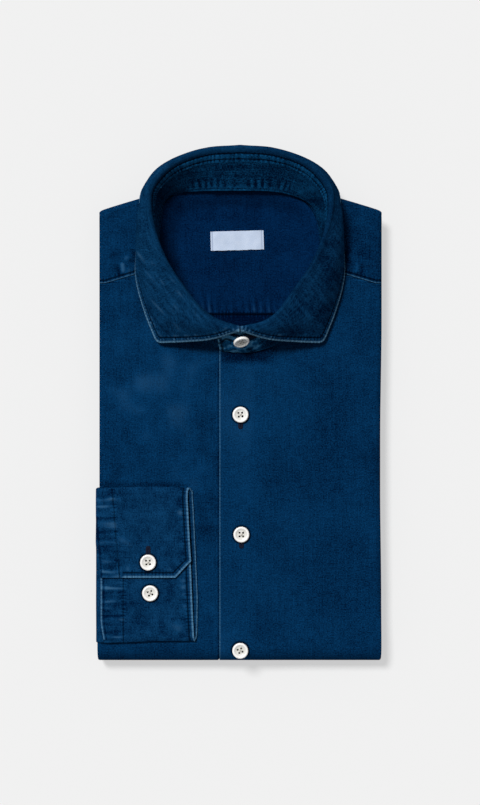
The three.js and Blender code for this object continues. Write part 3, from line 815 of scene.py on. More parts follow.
CORE_LINE = core_line()
LAYER_LEVELS = {
    round(lerp(low, high, i / LAYER_STEPS), 2) for low, high, *_ in LAYERS for i in range(LAYER_STEPS + 1)
}
CORE_LEVELS = sorted(LAYER_LEVELS | {GROOVE_LEVEL})
POCKET_ROWS = [
    # share of the way from the outline to the neckline, z
    (0.5, LAYERS[-1][1]), (1, LAYERS[-1][1]), (1, POCKET_FLOOR + 3), (1, POCKET_FLOOR),
]


def core_point(index, z):
    """A point of the layers' wall. The corners at the bottom fold are drawn in."""
    point, out, in_fold = CORE_LINE[index % len(CORE_LINE)]
    inset = bottom_inset(z) if in_fold else side_inset(z, point.x, point.y)
    moved = point - out * inset
    if not in_fold:
        pressed = CORNER_LENGTH if z > LAYERS[-1][0] - 1 else 3
        away = CORNER_INSET * smooth(pressed + 8, pressed, moved.y - BOTTOM_START_Y)
        moved.x = min(max(moved.x, BODY_EDGE[-1] + away), BODY_EDGE[1] - away)
    moved.z = z
    return moved


def pocket_point(index, share, z):
    """From the outline straight towards the middle of the neckline, and down into the hollow there."""
    outline = core_point(index, LAYERS[-1][1])
    away = Vector((outline.x - CENTRE_X, outline.y - NECK_Y, 0)) * 0.1
    reach = 1.01 / inside_share(CENTRE_X + away.x, NECK_Y + away.y)
    rim = Vector((CENTRE_X + away.x * reach, NECK_Y + away.y * reach, 0))
    point = outline.lerp(rim, share)
    point.z = z
    return point


def folded_layers():
    count = len(CORE_LINE)
    rows = [(0, z) for z in CORE_LEVELS] + POCKET_ROWS
    mesh, layers, cut = grid(count, len(rows) - 1)
    for vert in mesh.verts:
        index = round((vert.co.x + 0.5) * count)
        share, z = rows[round((vert.co.y + 0.5) * (len(rows) - 1))]
        vert.co = pocket_point(index, share, z) if share else core_point(index, z)
        note(vert, layers, (FAR, FAR, index, -0.1))
    close_up(mesh, MERGE)
    for face in mesh.faces:
        level = abs(face.normal.z) > 0.9
        for loop in face.loops:
            x, y, z = loop.vert.co
            loop[cut].uv = Vector((x, y) if level else (z * 1.5 + x, y + x)) * MM
    bmesh.ops.scale(mesh, vec=(MM, MM, MM), verts=mesh.verts)
    return mesh


finish_piece(to_object("shirt_folded_layers", folded_layers()), "folded_layers", BODY)

# %% [markdown]
# The collar stands up because it is sewn to the neckline at a slant and its stand is stiff. One short
# table describes it from the centre front to the centre back: where the foot sits on the neckline,
# where the roll is and where the leaf's free edge hangs. The same sections give the stand and the
# leaf, and the left half mirrors the right one. At the centre front the stand's ends lap.

# %% Collar sections
COLLAR_SECTIONS = [
    # angle of the foot, roll x, y, z, free edge x, y, z
    (0, 0, 59.4, 44.5, 0, 57.2, 45.8),
    (15, 19.4, 66.3, 45, 21, 50.9, 39.8),
    (32, 32.4, 76.9, 46, 42.7, 49, 32.2),
    (50, 43.8, 91.4, 47.5, 64.2, 48.2, 25.6),
    (70, 55.2, 108.9, 49, 73.9, 73.4, 25),
    (92, 63.5, 128.6, 50, 80.1, 98.2, 25),
    (112, 68.6, 150, 50, 79.6, 121, 25),
    (129, 66.8, 167, 49.5, 77.6, 144, 26),
    (146, 51, 184.4, 47.5, 73, 171, 19.5),
    (163, 26, 194, 45.5, 40, 190, 9),
    (180, 0, 196.2, 45, 0, 196.2, 5),
]
TIP_ROW = 3
TIP_ROUND = 0.17
BACK_ROW = len(COLLAR_SECTIONS) - 1
ROLL_POINTS = [Vector(row[1:4]) for row in COLLAR_SECTIONS]
EDGE_POINTS = [Vector(row[4:7]) for row in COLLAR_SECTIONS]
STAND_THICKNESS = 1.8
LEAF_THICKNESS = 1.7
ROLL_HEIGHT = 3.5
ROLL_WIDTH = 3.6
STAND_LAP_ROWS = 0.9
PLY_STEP = STAND_THICKNESS + 0.5


def sharp_edge(row):
    """The leaf's free edge: one curve from the centre front to the tip, another on to the back."""
    if row < TIP_ROW:
        return curve_point(EDGE_POINTS[: TIP_ROW + 1], row / TIP_ROW)
    return curve_point(EDGE_POINTS[TIP_ROW:], (row - TIP_ROW) / (BACK_ROW - TIP_ROW))


def leaf_edge(row):
    """The same with the tip rounded, as it is when the leaf is turned right side out."""
    share = ((row - TIP_ROW) / TIP_ROUND + 1) / 2
    if not 0 < share < 1:
        return sharp_edge(row)
    start, end = sharp_edge(TIP_ROW - TIP_ROUND), sharp_edge(TIP_ROW + TIP_ROUND)
    return start * (1 - share) ** 2 + sharp_edge(TIP_ROW) * 2 * share * (1 - share) + end * share**2


def collar_section(position):
    """The section at a place along the collar, from the lapped end in front once round to the other."""
    over, under = position > 2 * BACK_ROW, position < 0
    row = min(abs(position) if position <= BACK_ROW else abs(2 * BACK_ROW - position), BACK_ROW)
    side = -1 if (position <= BACK_ROW) != (over or under) else 1
    angle = between_rows(COLLAR_SECTIONS, 0, row)
    outward = Vector((math.sin(math.radians(angle)), -math.cos(math.radians(angle)), 0))
    foot = neck_point(angle, side, lerp(1, -1.2, smooth(110, 150, angle)))
    reach = abs(foot.x - CENTRE_X)
    lap = smooth(2.6, 1.2, row)
    lift = left_lift(CENTRE_X + reach) if side > 0 else LAP_LIFT * smooth(PLACKET + 12, PLACKET + 2, reach)
    seam = Vector((reach, foot.y, STACK + GAP + 0.8 + lift))
    roll = curve_point(ROLL_POINTS, row / BACK_ROW)
    edge = leaf_edge(row)
    rise = (roll - seam).normalized()
    fall = (edge - roll).normalized()
    away = outward + Vector((0, 0, 1))
    away = (away - fall * away.dot(fall)).normalized()
    face = (outward - rise * outward.dot(rise)).normalized()
    return SimpleNamespace(
        row=row, side=side, seam=seam, roll=roll, edge=edge, rise=rise, away=away, outward=outward,
        face=face, lap=lap, layered=lap if position > BACK_ROW else 0.0,
    )


def mirrored(point, side):
    return Vector((CENTRE_X + side * point.x, point.y, point.z))


print("collar sections", len(COLLAR_SECTIONS))

# %% [markdown]
# The stand is a band of two plies with a stiff interlining. From above its inner face shows at the
# back, with a row of stitching near the top and puckers along the neck seam, and its lapped front
# shows under the leaf points. The end on top has a rounded corner, which a formula for how high the
# band reaches at each place along it gives.

# %% Collar stand
STAND_START = -STAND_LAP_ROWS
STAND_END = 2 * BACK_ROW + STAND_LAP_ROWS
STAND_LENGTH = 430
STAND_ROW = 5.6
STAND_END_ROW = 3
STAND_BULGE = 1.2


def stand_point(position, share):
    """A point of the stand, from the seam up, and how high the band is there."""
    s = collar_section(position)
    top = s.roll - s.rise * (ROLL_HEIGHT + 0.3)
    from_end = STAND_END - position
    corner = 0.85 + 0.15 * smooth(0.9, 2.2, from_end) - 0.3 * (1 - smooth(0, 0.4, from_end))
    share *= corner
    point = s.seam.lerp(top, share)
    point += s.outward * (STAND_BULGE * math.sin(math.pi * share) + s.layered * PLY_STEP * (1 - share))
    point += s.face * (s.layered * PLY_STEP * share)
    return mirrored(point, s.side), (top - s.seam).length * corner


STAND_CREASES = [
    # share of the way along the stand, width, height: slanting dents from folding the collar
    (0.30, 5, 0.9), (0.345, 4, -0.8), (0.40, 5, 0.6), (0.55, 6, -0.5), (0.62, 4, 0.9), (0.655, 4, -1.1),
    (0.685, 3, 1.1), (0.71, 3, -1.0), (0.735, 3, 0.9), (0.765, 4, -0.8),
]


def stand_spot(u, v):
    position = lerp(STAND_START, STAND_END, u)
    point, height = stand_point(position, v)
    along = u * STAND_LENGTH
    up = v * height
    end = min(along, STAND_LENGTH - along)
    front = smooth(45, 25, end)
    back = smooth(2.1, 1.5, abs(position - BACK_ROW))
    down = height - up
    stitch = min(abs(down - STAND_ROW), abs(down - 0.3), abs(end - STAND_END_ROW))
    # Gathers above the neck seam, dents from folding, and small crumples where the ends lap
    bars = puckers(along, 5.0, 31) + 0.3 * soft_noise(along, up * 0.3, 32, 2)
    dent = sum(
        rise * math.exp(-(((along - spot * STAND_LENGTH - (up - height / 2) * 0.5) / width) ** 2))
        for spot, width, rise in STAND_CREASES
    )
    crinkle = (soft_noise(along * 0.6, up, 33, 3.0) + 0.6 * soft_noise(along, up * 0.6, 36, 2.2)) * front
    gather = bars * band(1.4, 3.4, 4, 12, up) * back
    lumps = 0.8 + 0.7 * soft_noise(along, 0, 34, 4)
    # Painted light: the first term lifts the lapped front, which lies in the leaf's shadow
    pale = 0.5 * front + 0.85 * gather + 0.3 * dent * smooth(1, 6, up) * smooth(6, 10, down) + 1.5 * crinkle
    # Rubbed lines: above the row of stitching, below it, and two close to the neck seam
    pale += 0.7 * band(0.9, 1.6, 4.4, 5.2, down) * lumps
    twist = 0.75 + 0.5 * puckers(along, 2.8, 35)
    pale += 0.9 * smooth(1.3, 0.2, abs(down - 7.5)) * lumps * twist * (1 - front)
    pale += 0.8 * back * lumps * (smooth(0.9, 0.1, abs(up - 0.3)) + 0.7 * smooth(0.9, 0.1, abs(up - 2.4)))
    pale += 0.9 * front * lumps * smooth(1.7, 0.5, up)
    # Painted shade darkens the inner face, and the end on top is rubbed
    pale -= 0.5 * (1 - front)
    pale += 0.9 * smooth(2.0, 0.8, STAND_LENGTH - along)
    return point, (up, along), (end, stitch, along, pale)


def stand_relief(edge, stitch, run, pale):
    return 0.4 * pale - 0.25 * smooth(1.0, 0.2, stitch)


stand = cloth(
    "shirt_collar_stand", "collar_stand", "denim", STAND_PAINTED_LIGHTER, (560, 44),
    stand_spot, STAND_THICKNESS, 0.5, stand_relief,
)

# %% [markdown]
# The leaf is sewn to the stand just under the roll, goes over it and falls to its free edge, where
# it is stitched about 4 mm in. The wash has rubbed the edge pale and drawn the cloth between edge
# and stitching into a rope of tiny puckers. The distance to the edge can't be read off the grid,
# because its lines meet the front edge at a slant, so a Border measures it for each point.

# %% Collar leaf
LEAF_END = 0.025
LEAF_STITCH = 4.2
LEAF_RIDGE = 6.1
LEAF_WIDTH = 56
LEAF_SEAM_WIDTH = 48
RIB_SPACING = 2.9


def leaf_controls(position):
    """The side of the shirt and the points that a section of the leaf runs through."""
    s = collar_section(position)
    end = smooth(0.8, 0, s.row)
    base = s.roll + s.face * (s.layered * PLY_STEP * (1 - 0.6 * end))
    width = ROLL_WIDTH - 1.2 * end + (s.lap - s.layered) * PLY_STEP * (1 - 0.6 * end)
    down = base + s.face * width - s.rise
    fullness = min(1.0, (down - s.edge).length / 30)
    return s.side, [
        base - s.rise * (ROLL_HEIGHT - 0.2),
        base - s.rise * 0.6,
        base + s.face * (width / 2) + s.rise * 0.9,
        down,
        down.lerp(s.edge, 0.35) + s.away * (3.2 * fullness),
        down.lerp(s.edge, 0.68) + s.away * (2.4 * fullness),
        s.edge,
    ]


def leaf_point(position, share):
    side, controls = leaf_controls(position)
    return mirrored(curve_point(controls, share), side)


LEAF_BORDER = Border([leaf_point(lerp(LEAF_END, 2 * BACK_ROW - LEAF_END, i / 1400), 1) for i in range(1401)])
LEAF_CREASES = [
    # x1, y1, x2, y2, width, height, on the left leaf and its mirror image
    (-70, 112, -45, 78, 3.5, 0.35),
    (-66, 98, -40, 70, 2.5, -0.25),
    (-74, 96, -48, 62, 4, 0.35),
    (-62, 82, -42, 58, 2.2, -0.25),
    (-76, 118, -66, 96, 3, 0.3),
    (-58, 66, -30, 58, 4, 0.3),
    (-77, 140, -74, 118, 3, -0.25),
]


def leaf_spot(u, v):
    position = lerp(LEAF_END, 2 * BACK_ROW - LEAF_END, u)
    share = 1 - (1 - v) ** 1.15
    point = leaf_point(position, share)
    distance, run = LEAF_BORDER.near(point)
    on_top = smooth(0.2, 0.45, share) * smooth(3, 9, distance)
    crease = creases(-abs(point.x - CENTRE_X), point.y, LEAF_CREASES)
    dimple = soft_noise(point.x, point.y, 43, 9)
    point.z += on_top * (0.8 * crease + 0.3 * dimple)
    # Rubbed lines beside the stitching, inside it and between it and the edge
    pale = 0.55 * smooth(1.5, 0, abs(distance - LEAF_RIDGE)) * (0.6 + soft_noise(run, 0, 45, 6))
    pale += 0.45 * band(1.2, 2.0, 3.0, 3.6, distance) * (0.5 + soft_noise(run, 0, 46, 2.6))
    # Streaks that run aslant over the points, where the leaf is pressed flat
    aslant = Vector((point.x * 0.75 + point.y * 0.65, point.y * 0.75 - point.x * 0.65))
    streak = soft_noise(aslant.x, aslant.y * 0.13, 47, 2.0)
    fold_crease = soft_noise(aslant.x, aslant.y * 0.1, 49, 5.5)
    facing = smooth(0.5, 0.75, share)
    pressed = smooth(150, 120, point.y)
    pale += on_top * (0.35 * crease + (0.12 + 0.38 * pressed) * streak + 0.2 * dimple)
    pale += on_top * 0.25 * facing * fold_crease * pressed
    # Ticks inside the stitching, and ribs between it and the edge
    pale += 0.5 * soft_noise(run, distance * 0.12, 48, 3.2) * band(4, 5.5, 6, 11, distance)
    ribs = puckers(run, RIB_SPACING, 44) * (0.35 + 0.65 * smooth(80, 60, point.y))
    pale += 0.65 * ribs * band(0.9, 1.7, 4.2, 4.9, distance)
    # Painted shade: the right leaf is darkened, as the light falls from the left
    pale -= 0.25 * smooth(CENTRE_X, CENTRE_X + 40, point.x)
    stitch = distance - LEAF_STITCH if share > 0.5 else share * LEAF_SEAM_WIDTH - 0.2
    return point, (share * LEAF_WIDTH, run * 0.97), (distance, stitch, run, pale)


def leaf_relief(edge, stitch, run, pale):
    rope = (0.12 * soft_noise(run, 0, 41, 3.4) + 0.1 * puckers(run, RIB_SPACING, 44)) * smooth(5, 3, edge)
    groove = 0.4 * smooth(1.3, 0.1, abs(stitch))
    return rope + 0.3 * smooth(2.2, 0.8, edge) - groove + 0.12 * smooth(1.5, 0, abs(edge - 6.4)) + 0.12 * pale


leaf = cloth(
    "shirt_collar_leaf", "collar_leaf", "denim", COLLAR, (620, 62),
    leaf_spot, LEAF_THICKNESS, 0.55, leaf_relief,
)

# %% [markdown]
# The cuff is a band buttoned into a flat ring. The table goes once round it, from the end with the
# buttons, hidden underneath, along the lower face, round the fold, back beneath and over to the
# mitred end with the buttonhole. Each row also says how far the hand opening reaches there.

# %% Cuff
CUFF_THICKNESS = 1.4
CUFF_SLEEVE_EDGE = -105
CUFF_ROUND = [
    # y, z, x of the hand opening
    (-112, 25.3, -37.7), (-126, 25.3, -37.3), (-150, 25.3, -36.3), (-176, 25.3, -35.0),
    (-181, 25.15, -34.6), (-183, 24.3, -33.9), (-181, 23.35, -33.2), (-176, 23.2, -32.6),
    (-150, 23.2, -32.2), (-116, 23.2, -33.7), (-73, 23.2, -36), (-67.6, 23.4, -36.4),
    (-65.6, 24.6, -38.0), (-67.6, 25.8, -39.6), (-75, 26.1, -39.8), (-98, 26.6, -38.5),
    (-112, 27.2, -37.7), (-121.4, 27.3, -37.0), (-134.1, 27.3, -49.2),
]
CUFF_TOP_Y = -70
CUFF_MIDDLE_X = -70
LOWER_PLY_ROW = 4
UPPER_PLY_ROW = 12
CUFF_LINE = [Vector((0, y, z)) for y, z, _ in CUFF_ROUND]
CUFF_LENGTHS = lengths_along(CUFF_LINE)
CUFF_TOTAL = CUFF_LENGTHS[-1]
CUFF_STITCH = 3.7
LOWER_HEM = -89.7
UPPER_HEM = -98
UPPER_HEM_SLANT = 0.087
SLEEVE_SEAM = -109.8


def cuff_row(length):
    """The row of the table, with its fraction, at a length along the round."""
    for i in range(len(CUFF_LENGTHS) - 1):
        if length <= CUFF_LENGTHS[i + 1]:
            return i + (length - CUFF_LENGTHS[i]) / (CUFF_LENGTHS[i + 1] - CUFF_LENGTHS[i])
    return len(CUFF_LENGTHS) - 1.0


def cuff_point(length, share):
    level = curve_point(CUFF_LINE, cuff_row(length) / (len(CUFF_LINE) - 1))
    return Vector((lerp(CUFF_SLEEVE_EDGE, cuff_hand(length), share), level.y, level.z))


def cuff_hand(length):
    """How far the cuff reaches at the hand opening."""
    return between_rows(CUFF_ROUND, 2, cuff_row(length))


# The border is measured in the flat cut, so that one ply never takes its distance from another
CUFF_BORDER = Border(
    [Vector((0, lerp(CUFF_SLEEVE_EDGE, cuff_hand(0), i / 120), 0)) for i in range(120)]
    + [Vector((CUFF_TOTAL * i / 900, cuff_hand(CUFF_TOTAL * i / 900), 0)) for i in range(900)]
    + [Vector((CUFF_TOTAL, lerp(cuff_hand(CUFF_TOTAL), CUFF_SLEEVE_EDGE, i / 120), 0)) for i in range(120)]
)
CUFF_CREASES = [
    # x1, y1, x2, y2, width, height
    (-98, -72, -88, -76, 1.5, 0.9),
    (-66, -80, -56, -106, 6, 0.35),
    (-92, -103, -80, -111, 2.4, 0.7),
    (-80, -92, -78, -116, 4, -0.35),
    (-56, -168, -42, -176, 3, 0.5),
    (-88, -158, -70, -172, 6, -0.3),
    (-58, -152, -44, -160, 3, -0.4),
]


def cuff_spot(u, v):
    length = u * CUFF_TOTAL
    point = cuff_point(length, v)
    distance, run = CUFF_BORDER.near(Vector((length, point.x, 0)))
    from_sleeve = point.x - CUFF_SLEEVE_EDGE
    top_ply = length > CUFF_LENGTHS[UPPER_PLY_ROW]
    lower_ply = length < CUFF_LENGTHS[LOWER_PLY_ROW]
    crease = creases(point.x, point.y, CUFF_CREASES)
    dimple = soft_noise(point.x, point.y, 55, 12)
    shown = smooth(0, 8, distance) * (top_ply or lower_ply)
    point.z += shown * (0.3 * dimple + 0.6 * crease)
    # Towards the sleeve the cuff is drawn out to its seam, and the upper ply dips to meet it
    if top_ply:
        edge = distance
        point.x -= smooth(24, 0, from_sleeve) * lerp(6, 2.2, smooth(-105, -134, point.y))
        point.z -= 1.7 * smooth(-106.5, -111, point.x)
        hem = UPPER_HEM - UPPER_HEM_SLANT * (point.y - CUFF_TOP_Y)
    else:
        edge = min(distance, from_sleeve + 0.5) if lower_ply else distance + 0.5
        point.x -= smooth(14, 0, from_sleeve) * (2.2 - 2.6 * smooth(-165, -186, point.y))
        hem = LOWER_HEM
    # The strip beside the sleeve is gathered into bars, and the stitching has ticks beside it
    strip = smooth(hem + 4, hem - 1, point.x)
    stitch = min(abs(distance - CUFF_STITCH) + 3 * strip * top_ply, abs(point.x - hem) + 0.25)
    bars = soft_noise(point.y, from_sleeve * 0.08, 51, 3.6)
    bars += 0.5 * soft_noise(point.y, from_sleeve * 0.2, 52, 2)
    ticks = soft_noise(run, distance * 0.15, 53, 4.2) * band(4, 5.5, 6, 12, distance)
    pale = bars * strip + 0.95 * ticks + shown * (0.5 * crease + 0.3 * dimple)
    if top_ply:
        edge += 2.5 * strip
        pale += 0.55 * strip * smooth(9, 3, distance)
        sleeve_seam = abs(point.x - SLEEVE_SEAM - 3.1 * smooth(-88, -132, point.y))
        pale -= 0.9 * smooth(1.2, 0.2, sleeve_seam) * smooth(-84, -92, point.y)
    if lower_ply:
        pale -= 0.8 * smooth(1.0, 0.2, abs(from_sleeve - 2.2))
    # The corner at the sleeve droops a little, and the top edge bows up
    point.y -= 1.5 * smooth(-60, -100, point.x) * smooth(-150, -180, point.y)
    point.y += 1.3 * smooth(-120, -70, point.y) * max(0.0, 1 - ((point.x - CUFF_MIDDLE_X) / 36) ** 2)
    along = run if distance < from_sleeve else point.y
    return point, (point.y, point.x), (edge, stitch, along, pale)


def cuff_relief(edge, stitch, run, pale):
    rope = 0.14 * soft_noise(run, 0, 57, 3.4) * smooth(5, 3, edge)
    return rope + 0.3 * smooth(2.0, 0.7, edge) - 0.28 * smooth(1.1, 0.1, stitch) + 0.25 * pale


cuff = cloth("shirt_cuff", "cuff", "denim", CUFF, (340, 96), cuff_spot, CUFF_THICKNESS, 0.5, cuff_relief)

# %% [markdown]
# The sleeve comes out from behind the fold, turns round its side and carries the cuff on top. It is
# a flattened tube, so its grid goes once round the tube and along the turn, and the two ends of the
# round are merged.

# %% Sleeve
SLEEVE_PATH = [
    # x, z, height of the flattened tube
    (-105, 23.6, 1.2), (-107.4, 23.6, 1.2), (-109.3, 22.9, 1.1), (-110.1, 21.6, 1.1), (-110.15, 19.8, 1.1),
    (-110.15, 17.5, 1.1), (-109.7, 14.8, 1.1), (-108.2, 12.6, 1.1), (-106, 11.4, 1.1),
]
SLEEVE_THICKNESS = 0.85
SLEEVE_CUT = (70, 24)
SLEEVE_LOW_Y = -184.6
SLEEVE_HIGH_Y = -65.2
SLEEVE_LINE = [Vector((x, 0, z)) for x, z, _ in SLEEVE_PATH]


def sleeve_spot(u, v):
    half = between_rows(SLEEVE_PATH, 2, v * (len(SLEEVE_PATH) - 1)) / 2
    centre = curve_point(SLEEVE_LINE, v)
    ahead = curve_point(SLEEVE_LINE, min(v + 0.02, 1)) - curve_point(SLEEVE_LINE, max(v - 0.02, 0))
    normal = Vector((ahead.z, 0, -ahead.x)).normalized()
    turn = u * 2 * math.pi
    width = (SLEEVE_HIGH_Y - SLEEVE_LOW_Y) / 2 - half
    flat = max(-1.0, min(1.0, 1.25 * math.cos(turn)))
    y = (SLEEVE_HIGH_Y + SLEEVE_LOW_Y) / 2 + width * flat + half * math.cos(turn) ** 5
    bulge = math.copysign(min(1.0, abs(math.sin(turn)) * 1.6), math.sin(turn))
    point = centre - normal * (half * bulge)
    point.y = y
    point.x += 0.15 * soft_noise(y, v * 20, 61, 12)
    pale = 0.25 * soft_noise(y, v * 6, 63, 5)
    return point, (y + SLEEVE_CUT[0] * bulge, v * SLEEVE_CUT[1]), (FAR, FAR, y, pale)


sleeve = cloth(
    "shirt_sleeve", "sleeve_right", "denim", CUFF, (160, 30),
    sleeve_spot, SLEEVE_THICKNESS, 0, merge=True,
)

# %% [markdown]
# Buttons with four holes, turned from a small profile. A spin makes the disc, and the holes are cut
# with a boolean, as a drill would. Pearly plastic has a cloudy sheen in it, which soft noise between
# near-white tones gives, with a clear coat on top.

# %% Buttons
BUTTON_RADIUS = 6.2
BUTTON_PROFILE = [
    # radius, height
    (0.01, 0), (4.9, 0), (5.6, 0.25), (6.1, 0.9), (6.2, 1.5), (6.05, 2.1), (5.7, 2.5), (5.1, 2.6),
    (4.6, 2.45), (4.2, 2.1), (3.8, 1.85), (2.5, 1.7), (0.01, 1.65),
]
HOLE_SPACING = 1.35
DRILL_RADIUS = 0.82
THREAD_RADIUS = 0.17
THREAD_REACH = 1.75
THREAD_HEIGHT = 1.9


def pearl():
    look = Look("pearl button")
    place = look.place()
    swirl = look.noise(place, 260.0, 3.0, 0.6)
    fine = look.noise(look.stretched(place, (1.0, 2.5, 1.0)), 700.0, 2.0, 0.5)
    tone = (swirl - 0.5) * 1.6 + 0.5 + (fine - 0.5) * 0.4
    cream = look.mix(tone.clamped(), colour(216, 214, 203), colour(240, 238, 236))
    # Painted highlight: the raised rim is made near white
    pale = look.mix(look.trait("edge").step(2.3, 1.5) * 0.9, cream, colour(253, 251, 248))
    look.feed(Base_Color=pale, Roughness=0.35, Specular_IOR_Level=0.5, Coat_Weight=0.3, Coat_Roughness=0.12)
    return look.material


def thread(name, tone):
    look = Look(name)
    fibre = look.noise(look.place(), 2200.0, 2.0, 0.6)
    shade = look.mix(fibre, tuple(c * 0.6 for c in tone[:3]) + (1.0,), tone)
    look.feed(Base_Color=shade, Roughness=0.8, Specular_IOR_Level=0.1, Normal=look.bump(fibre, 0.5, 0.2 * MM))
    return look.material


PEARL = pearl()
WHITE_THREAD = thread("white thread", colour(226, 222, 214))
NAVY_THREAD = thread("navy thread", colour(20, 24, 44))


def button_blank():
    mesh = bmesh.new()
    verts = [mesh.verts.new((r, 0, z)) for r, z in BUTTON_PROFILE]
    edges = [mesh.edges.new(pair) for pair in zip(verts, verts[1:])]
    axis = {"cent": (0, 0, 0), "axis": (0, 0, 1), "angle": 2 * math.pi}
    bmesh.ops.spin(mesh, geom=verts + edges, **axis, steps=48, use_merge=True)
    close_up(mesh, 0.02)
    return mesh


def drilled_button():
    disc = to_object("button blank", button_blank())
    drill = bmesh.new()
    size = {"segments": 16, "radius1": DRILL_RADIUS, "radius2": DRILL_RADIUS, "depth": 8}
    for x in (-1, 1):
        for y in (-1, 1):
            made = bmesh.ops.create_cone(drill, cap_ends=True, **size)
            bmesh.ops.translate(drill, vec=(x * HOLE_SPACING, y * HOLE_SPACING, 1), verts=made["verts"])
    bit = to_object("button drill", drill)
    cut = disc.modifiers.new("holes", "BOOLEAN")
    cut.operation = "DIFFERENCE"
    cut.object = bit
    cut.solver = "EXACT"
    evaluated = disc.evaluated_get(bpy.context.evaluated_depsgraph_get())
    data = bpy.data.meshes.new_from_object(evaluated)
    bpy.data.objects.remove(disc)
    bpy.data.objects.remove(bit)
    return data


BUTTON_MESH = drilled_button()


def button_disc():
    """The drilled button, its points marked with how far they are from the rim."""
    mesh = bmesh.new()
    mesh.from_mesh(BUTTON_MESH)
    from_rim = mesh.verts.layers.float.new("edge")
    for vert in mesh.verts:
        vert[from_rim] = BUTTON_RADIUS - math.hypot(vert.co.x, vert.co.y)
    return mesh


def cross_stitch():
    """The sewing thread on top of a button: two crossed bundles that dip into the holes."""
    mesh = bmesh.new()
    for diagonal, height in ((45, THREAD_HEIGHT + 0.2), (135, THREAD_HEIGHT)):
        for offset in (-THREAD_RADIUS, THREAD_RADIUS):
            bundle = bmesh.ops.create_grid(mesh, x_segments=24, y_segments=10, size=0.5)["verts"]
            for vert in bundle:
                share = vert.co.x * 2
                angle = (vert.co.y + 0.5) * 2 * math.pi
                arch = height - THREAD_HEIGHT * smooth(0.62, 1.0, abs(share))
                aside, up = THREAD_RADIUS * math.cos(angle), THREAD_RADIUS * math.sin(angle)
                vert.co = (share * THREAD_REACH, offset + aside, arch + up)
            turn = Matrix.Rotation(math.radians(diagonal), 3, "Z")
            bmesh.ops.rotate(mesh, cent=(0, 0, 0), matrix=turn, verts=bundle)
    close_up(mesh, 0.005)
    return mesh


def sew_button(node, centre, tilt, roll, turn):
    """Puts a button and its thread in their place, turned by three angles in radians."""
    matrix = Matrix.Translation(centre) @ Matrix.Rotation(tilt, 4, "X") @ Matrix.Rotation(roll, 4, "Y")
    matrix = Matrix.Scale(MM, 4) @ matrix @ Matrix.Rotation(turn, 4, "Z")
    disc, stitches = button_disc(), cross_stitch()
    for mesh in (disc, stitches):
        bmesh.ops.transform(mesh, matrix=matrix, verts=mesh.verts)
    finish_piece(to_object("shirt_" + node, disc), node, PEARL)
    finish_piece(to_object("thread_" + node, stitches), None, WHITE_THREAD)


BUTTON_SEATS = [
    # node, place, how far it stands off the cloth, tilt and turn in degrees
    ("front_button_1", FRONT_BUTTONS[0], GAP, 0, 6),
    ("front_button_2", FRONT_BUTTONS[1], GAP, 0, 0),
    ("front_button_3", FRONT_BUTTONS[2], GAP + 0.35, 3, 23),
    ("cuff_button_1", CUFF_BUTTONS[0], 0, 0, 3),
    ("cuff_button_2", CUFF_BUTTONS[1], 0, 0, 20),
]
for node, place, stand_off, tilt, turn in BUTTON_SEATS:
    sew_button(node, place + Vector((0, 0, stand_off)), math.radians(tilt), 0, math.radians(turn))

# %% [markdown]
# The collar button sits on the slope of the stand's lapped ends, so it is turned to lie on it.

# %% Collar button
BUTTON_ROW = 2 * BACK_ROW - 0.05
COLLAR_BUTTON_TILT = math.radians(8)
COLLAR_BUTTON_ROLL = math.radians(12)
COLLAR_BUTTON_TURN = 0.3
stand_low, stand_seat, stand_high = (stand_point(BUTTON_ROW, share)[0] for share in (0.4, 0.84, 1))
slope = math.atan2(stand_high.z - stand_low.z, stand_high.y - stand_low.y)
off = Vector((0, -math.sin(slope), math.cos(slope)))
collar_spot = Vector((CENTRE_X + 0.8, stand_seat.y, stand_seat.z)) + off * (STAND_THICKNESS / 2 + 2 * GAP)
sew_button("collar_button", collar_spot, slope + COLLAR_BUTTON_TILT, COLLAR_BUTTON_ROLL, COLLAR_BUTTON_TURN)
print("collar button slopes", round(math.degrees(slope)), "degrees")

# %% [markdown]
# A buttonhole is a slit bound with close navy stitches. Its rim is a flattened ring that is longer
# than it is wide, and the slit is the line where the ring's inner sides nearly meet.

# %% Buttonholes
HOLE_LENGTH = 15.0
HOLE_WIDTH = 3.6
RIM_HEIGHT = 0.28


def buttonhole(name, centre, along, normal, length=HOLE_LENGTH):
    """A stitched rim round a slit, lying on the cloth at centre, its length along a direction."""
    along = along.normalized()
    normal = normal.normalized()
    aside = normal.cross(along)
    mesh = bmesh.new()
    bmesh.ops.create_grid(mesh, x_segments=120, y_segments=8, size=0.5)
    straight = (length - HOLE_WIDTH) / 2
    for vert in mesh.verts:
        round_turn = (vert.co.x + 0.5) * 2 * math.pi
        tube = (vert.co.y + 0.5) * 2 * math.pi
        reach = HOLE_WIDTH / 4 + 0.1 + (HOLE_WIDTH / 4 + 0.05) * math.cos(tube)
        lengthwise = math.copysign(straight, math.cos(round_turn)) * min(1, abs(math.cos(round_turn)) * 6)
        spot = along * (lengthwise + reach * math.cos(round_turn)) + aside * (reach * math.sin(round_turn))
        vert.co = centre + spot + normal * (RIM_HEIGHT * math.sin(tube) + 0.1)
    close_up(mesh, 0.005)
    bmesh.ops.scale(mesh, vec=(MM, MM, MM), verts=mesh.verts)
    finish_piece(to_object(name, mesh), None, NAVY_THREAD)


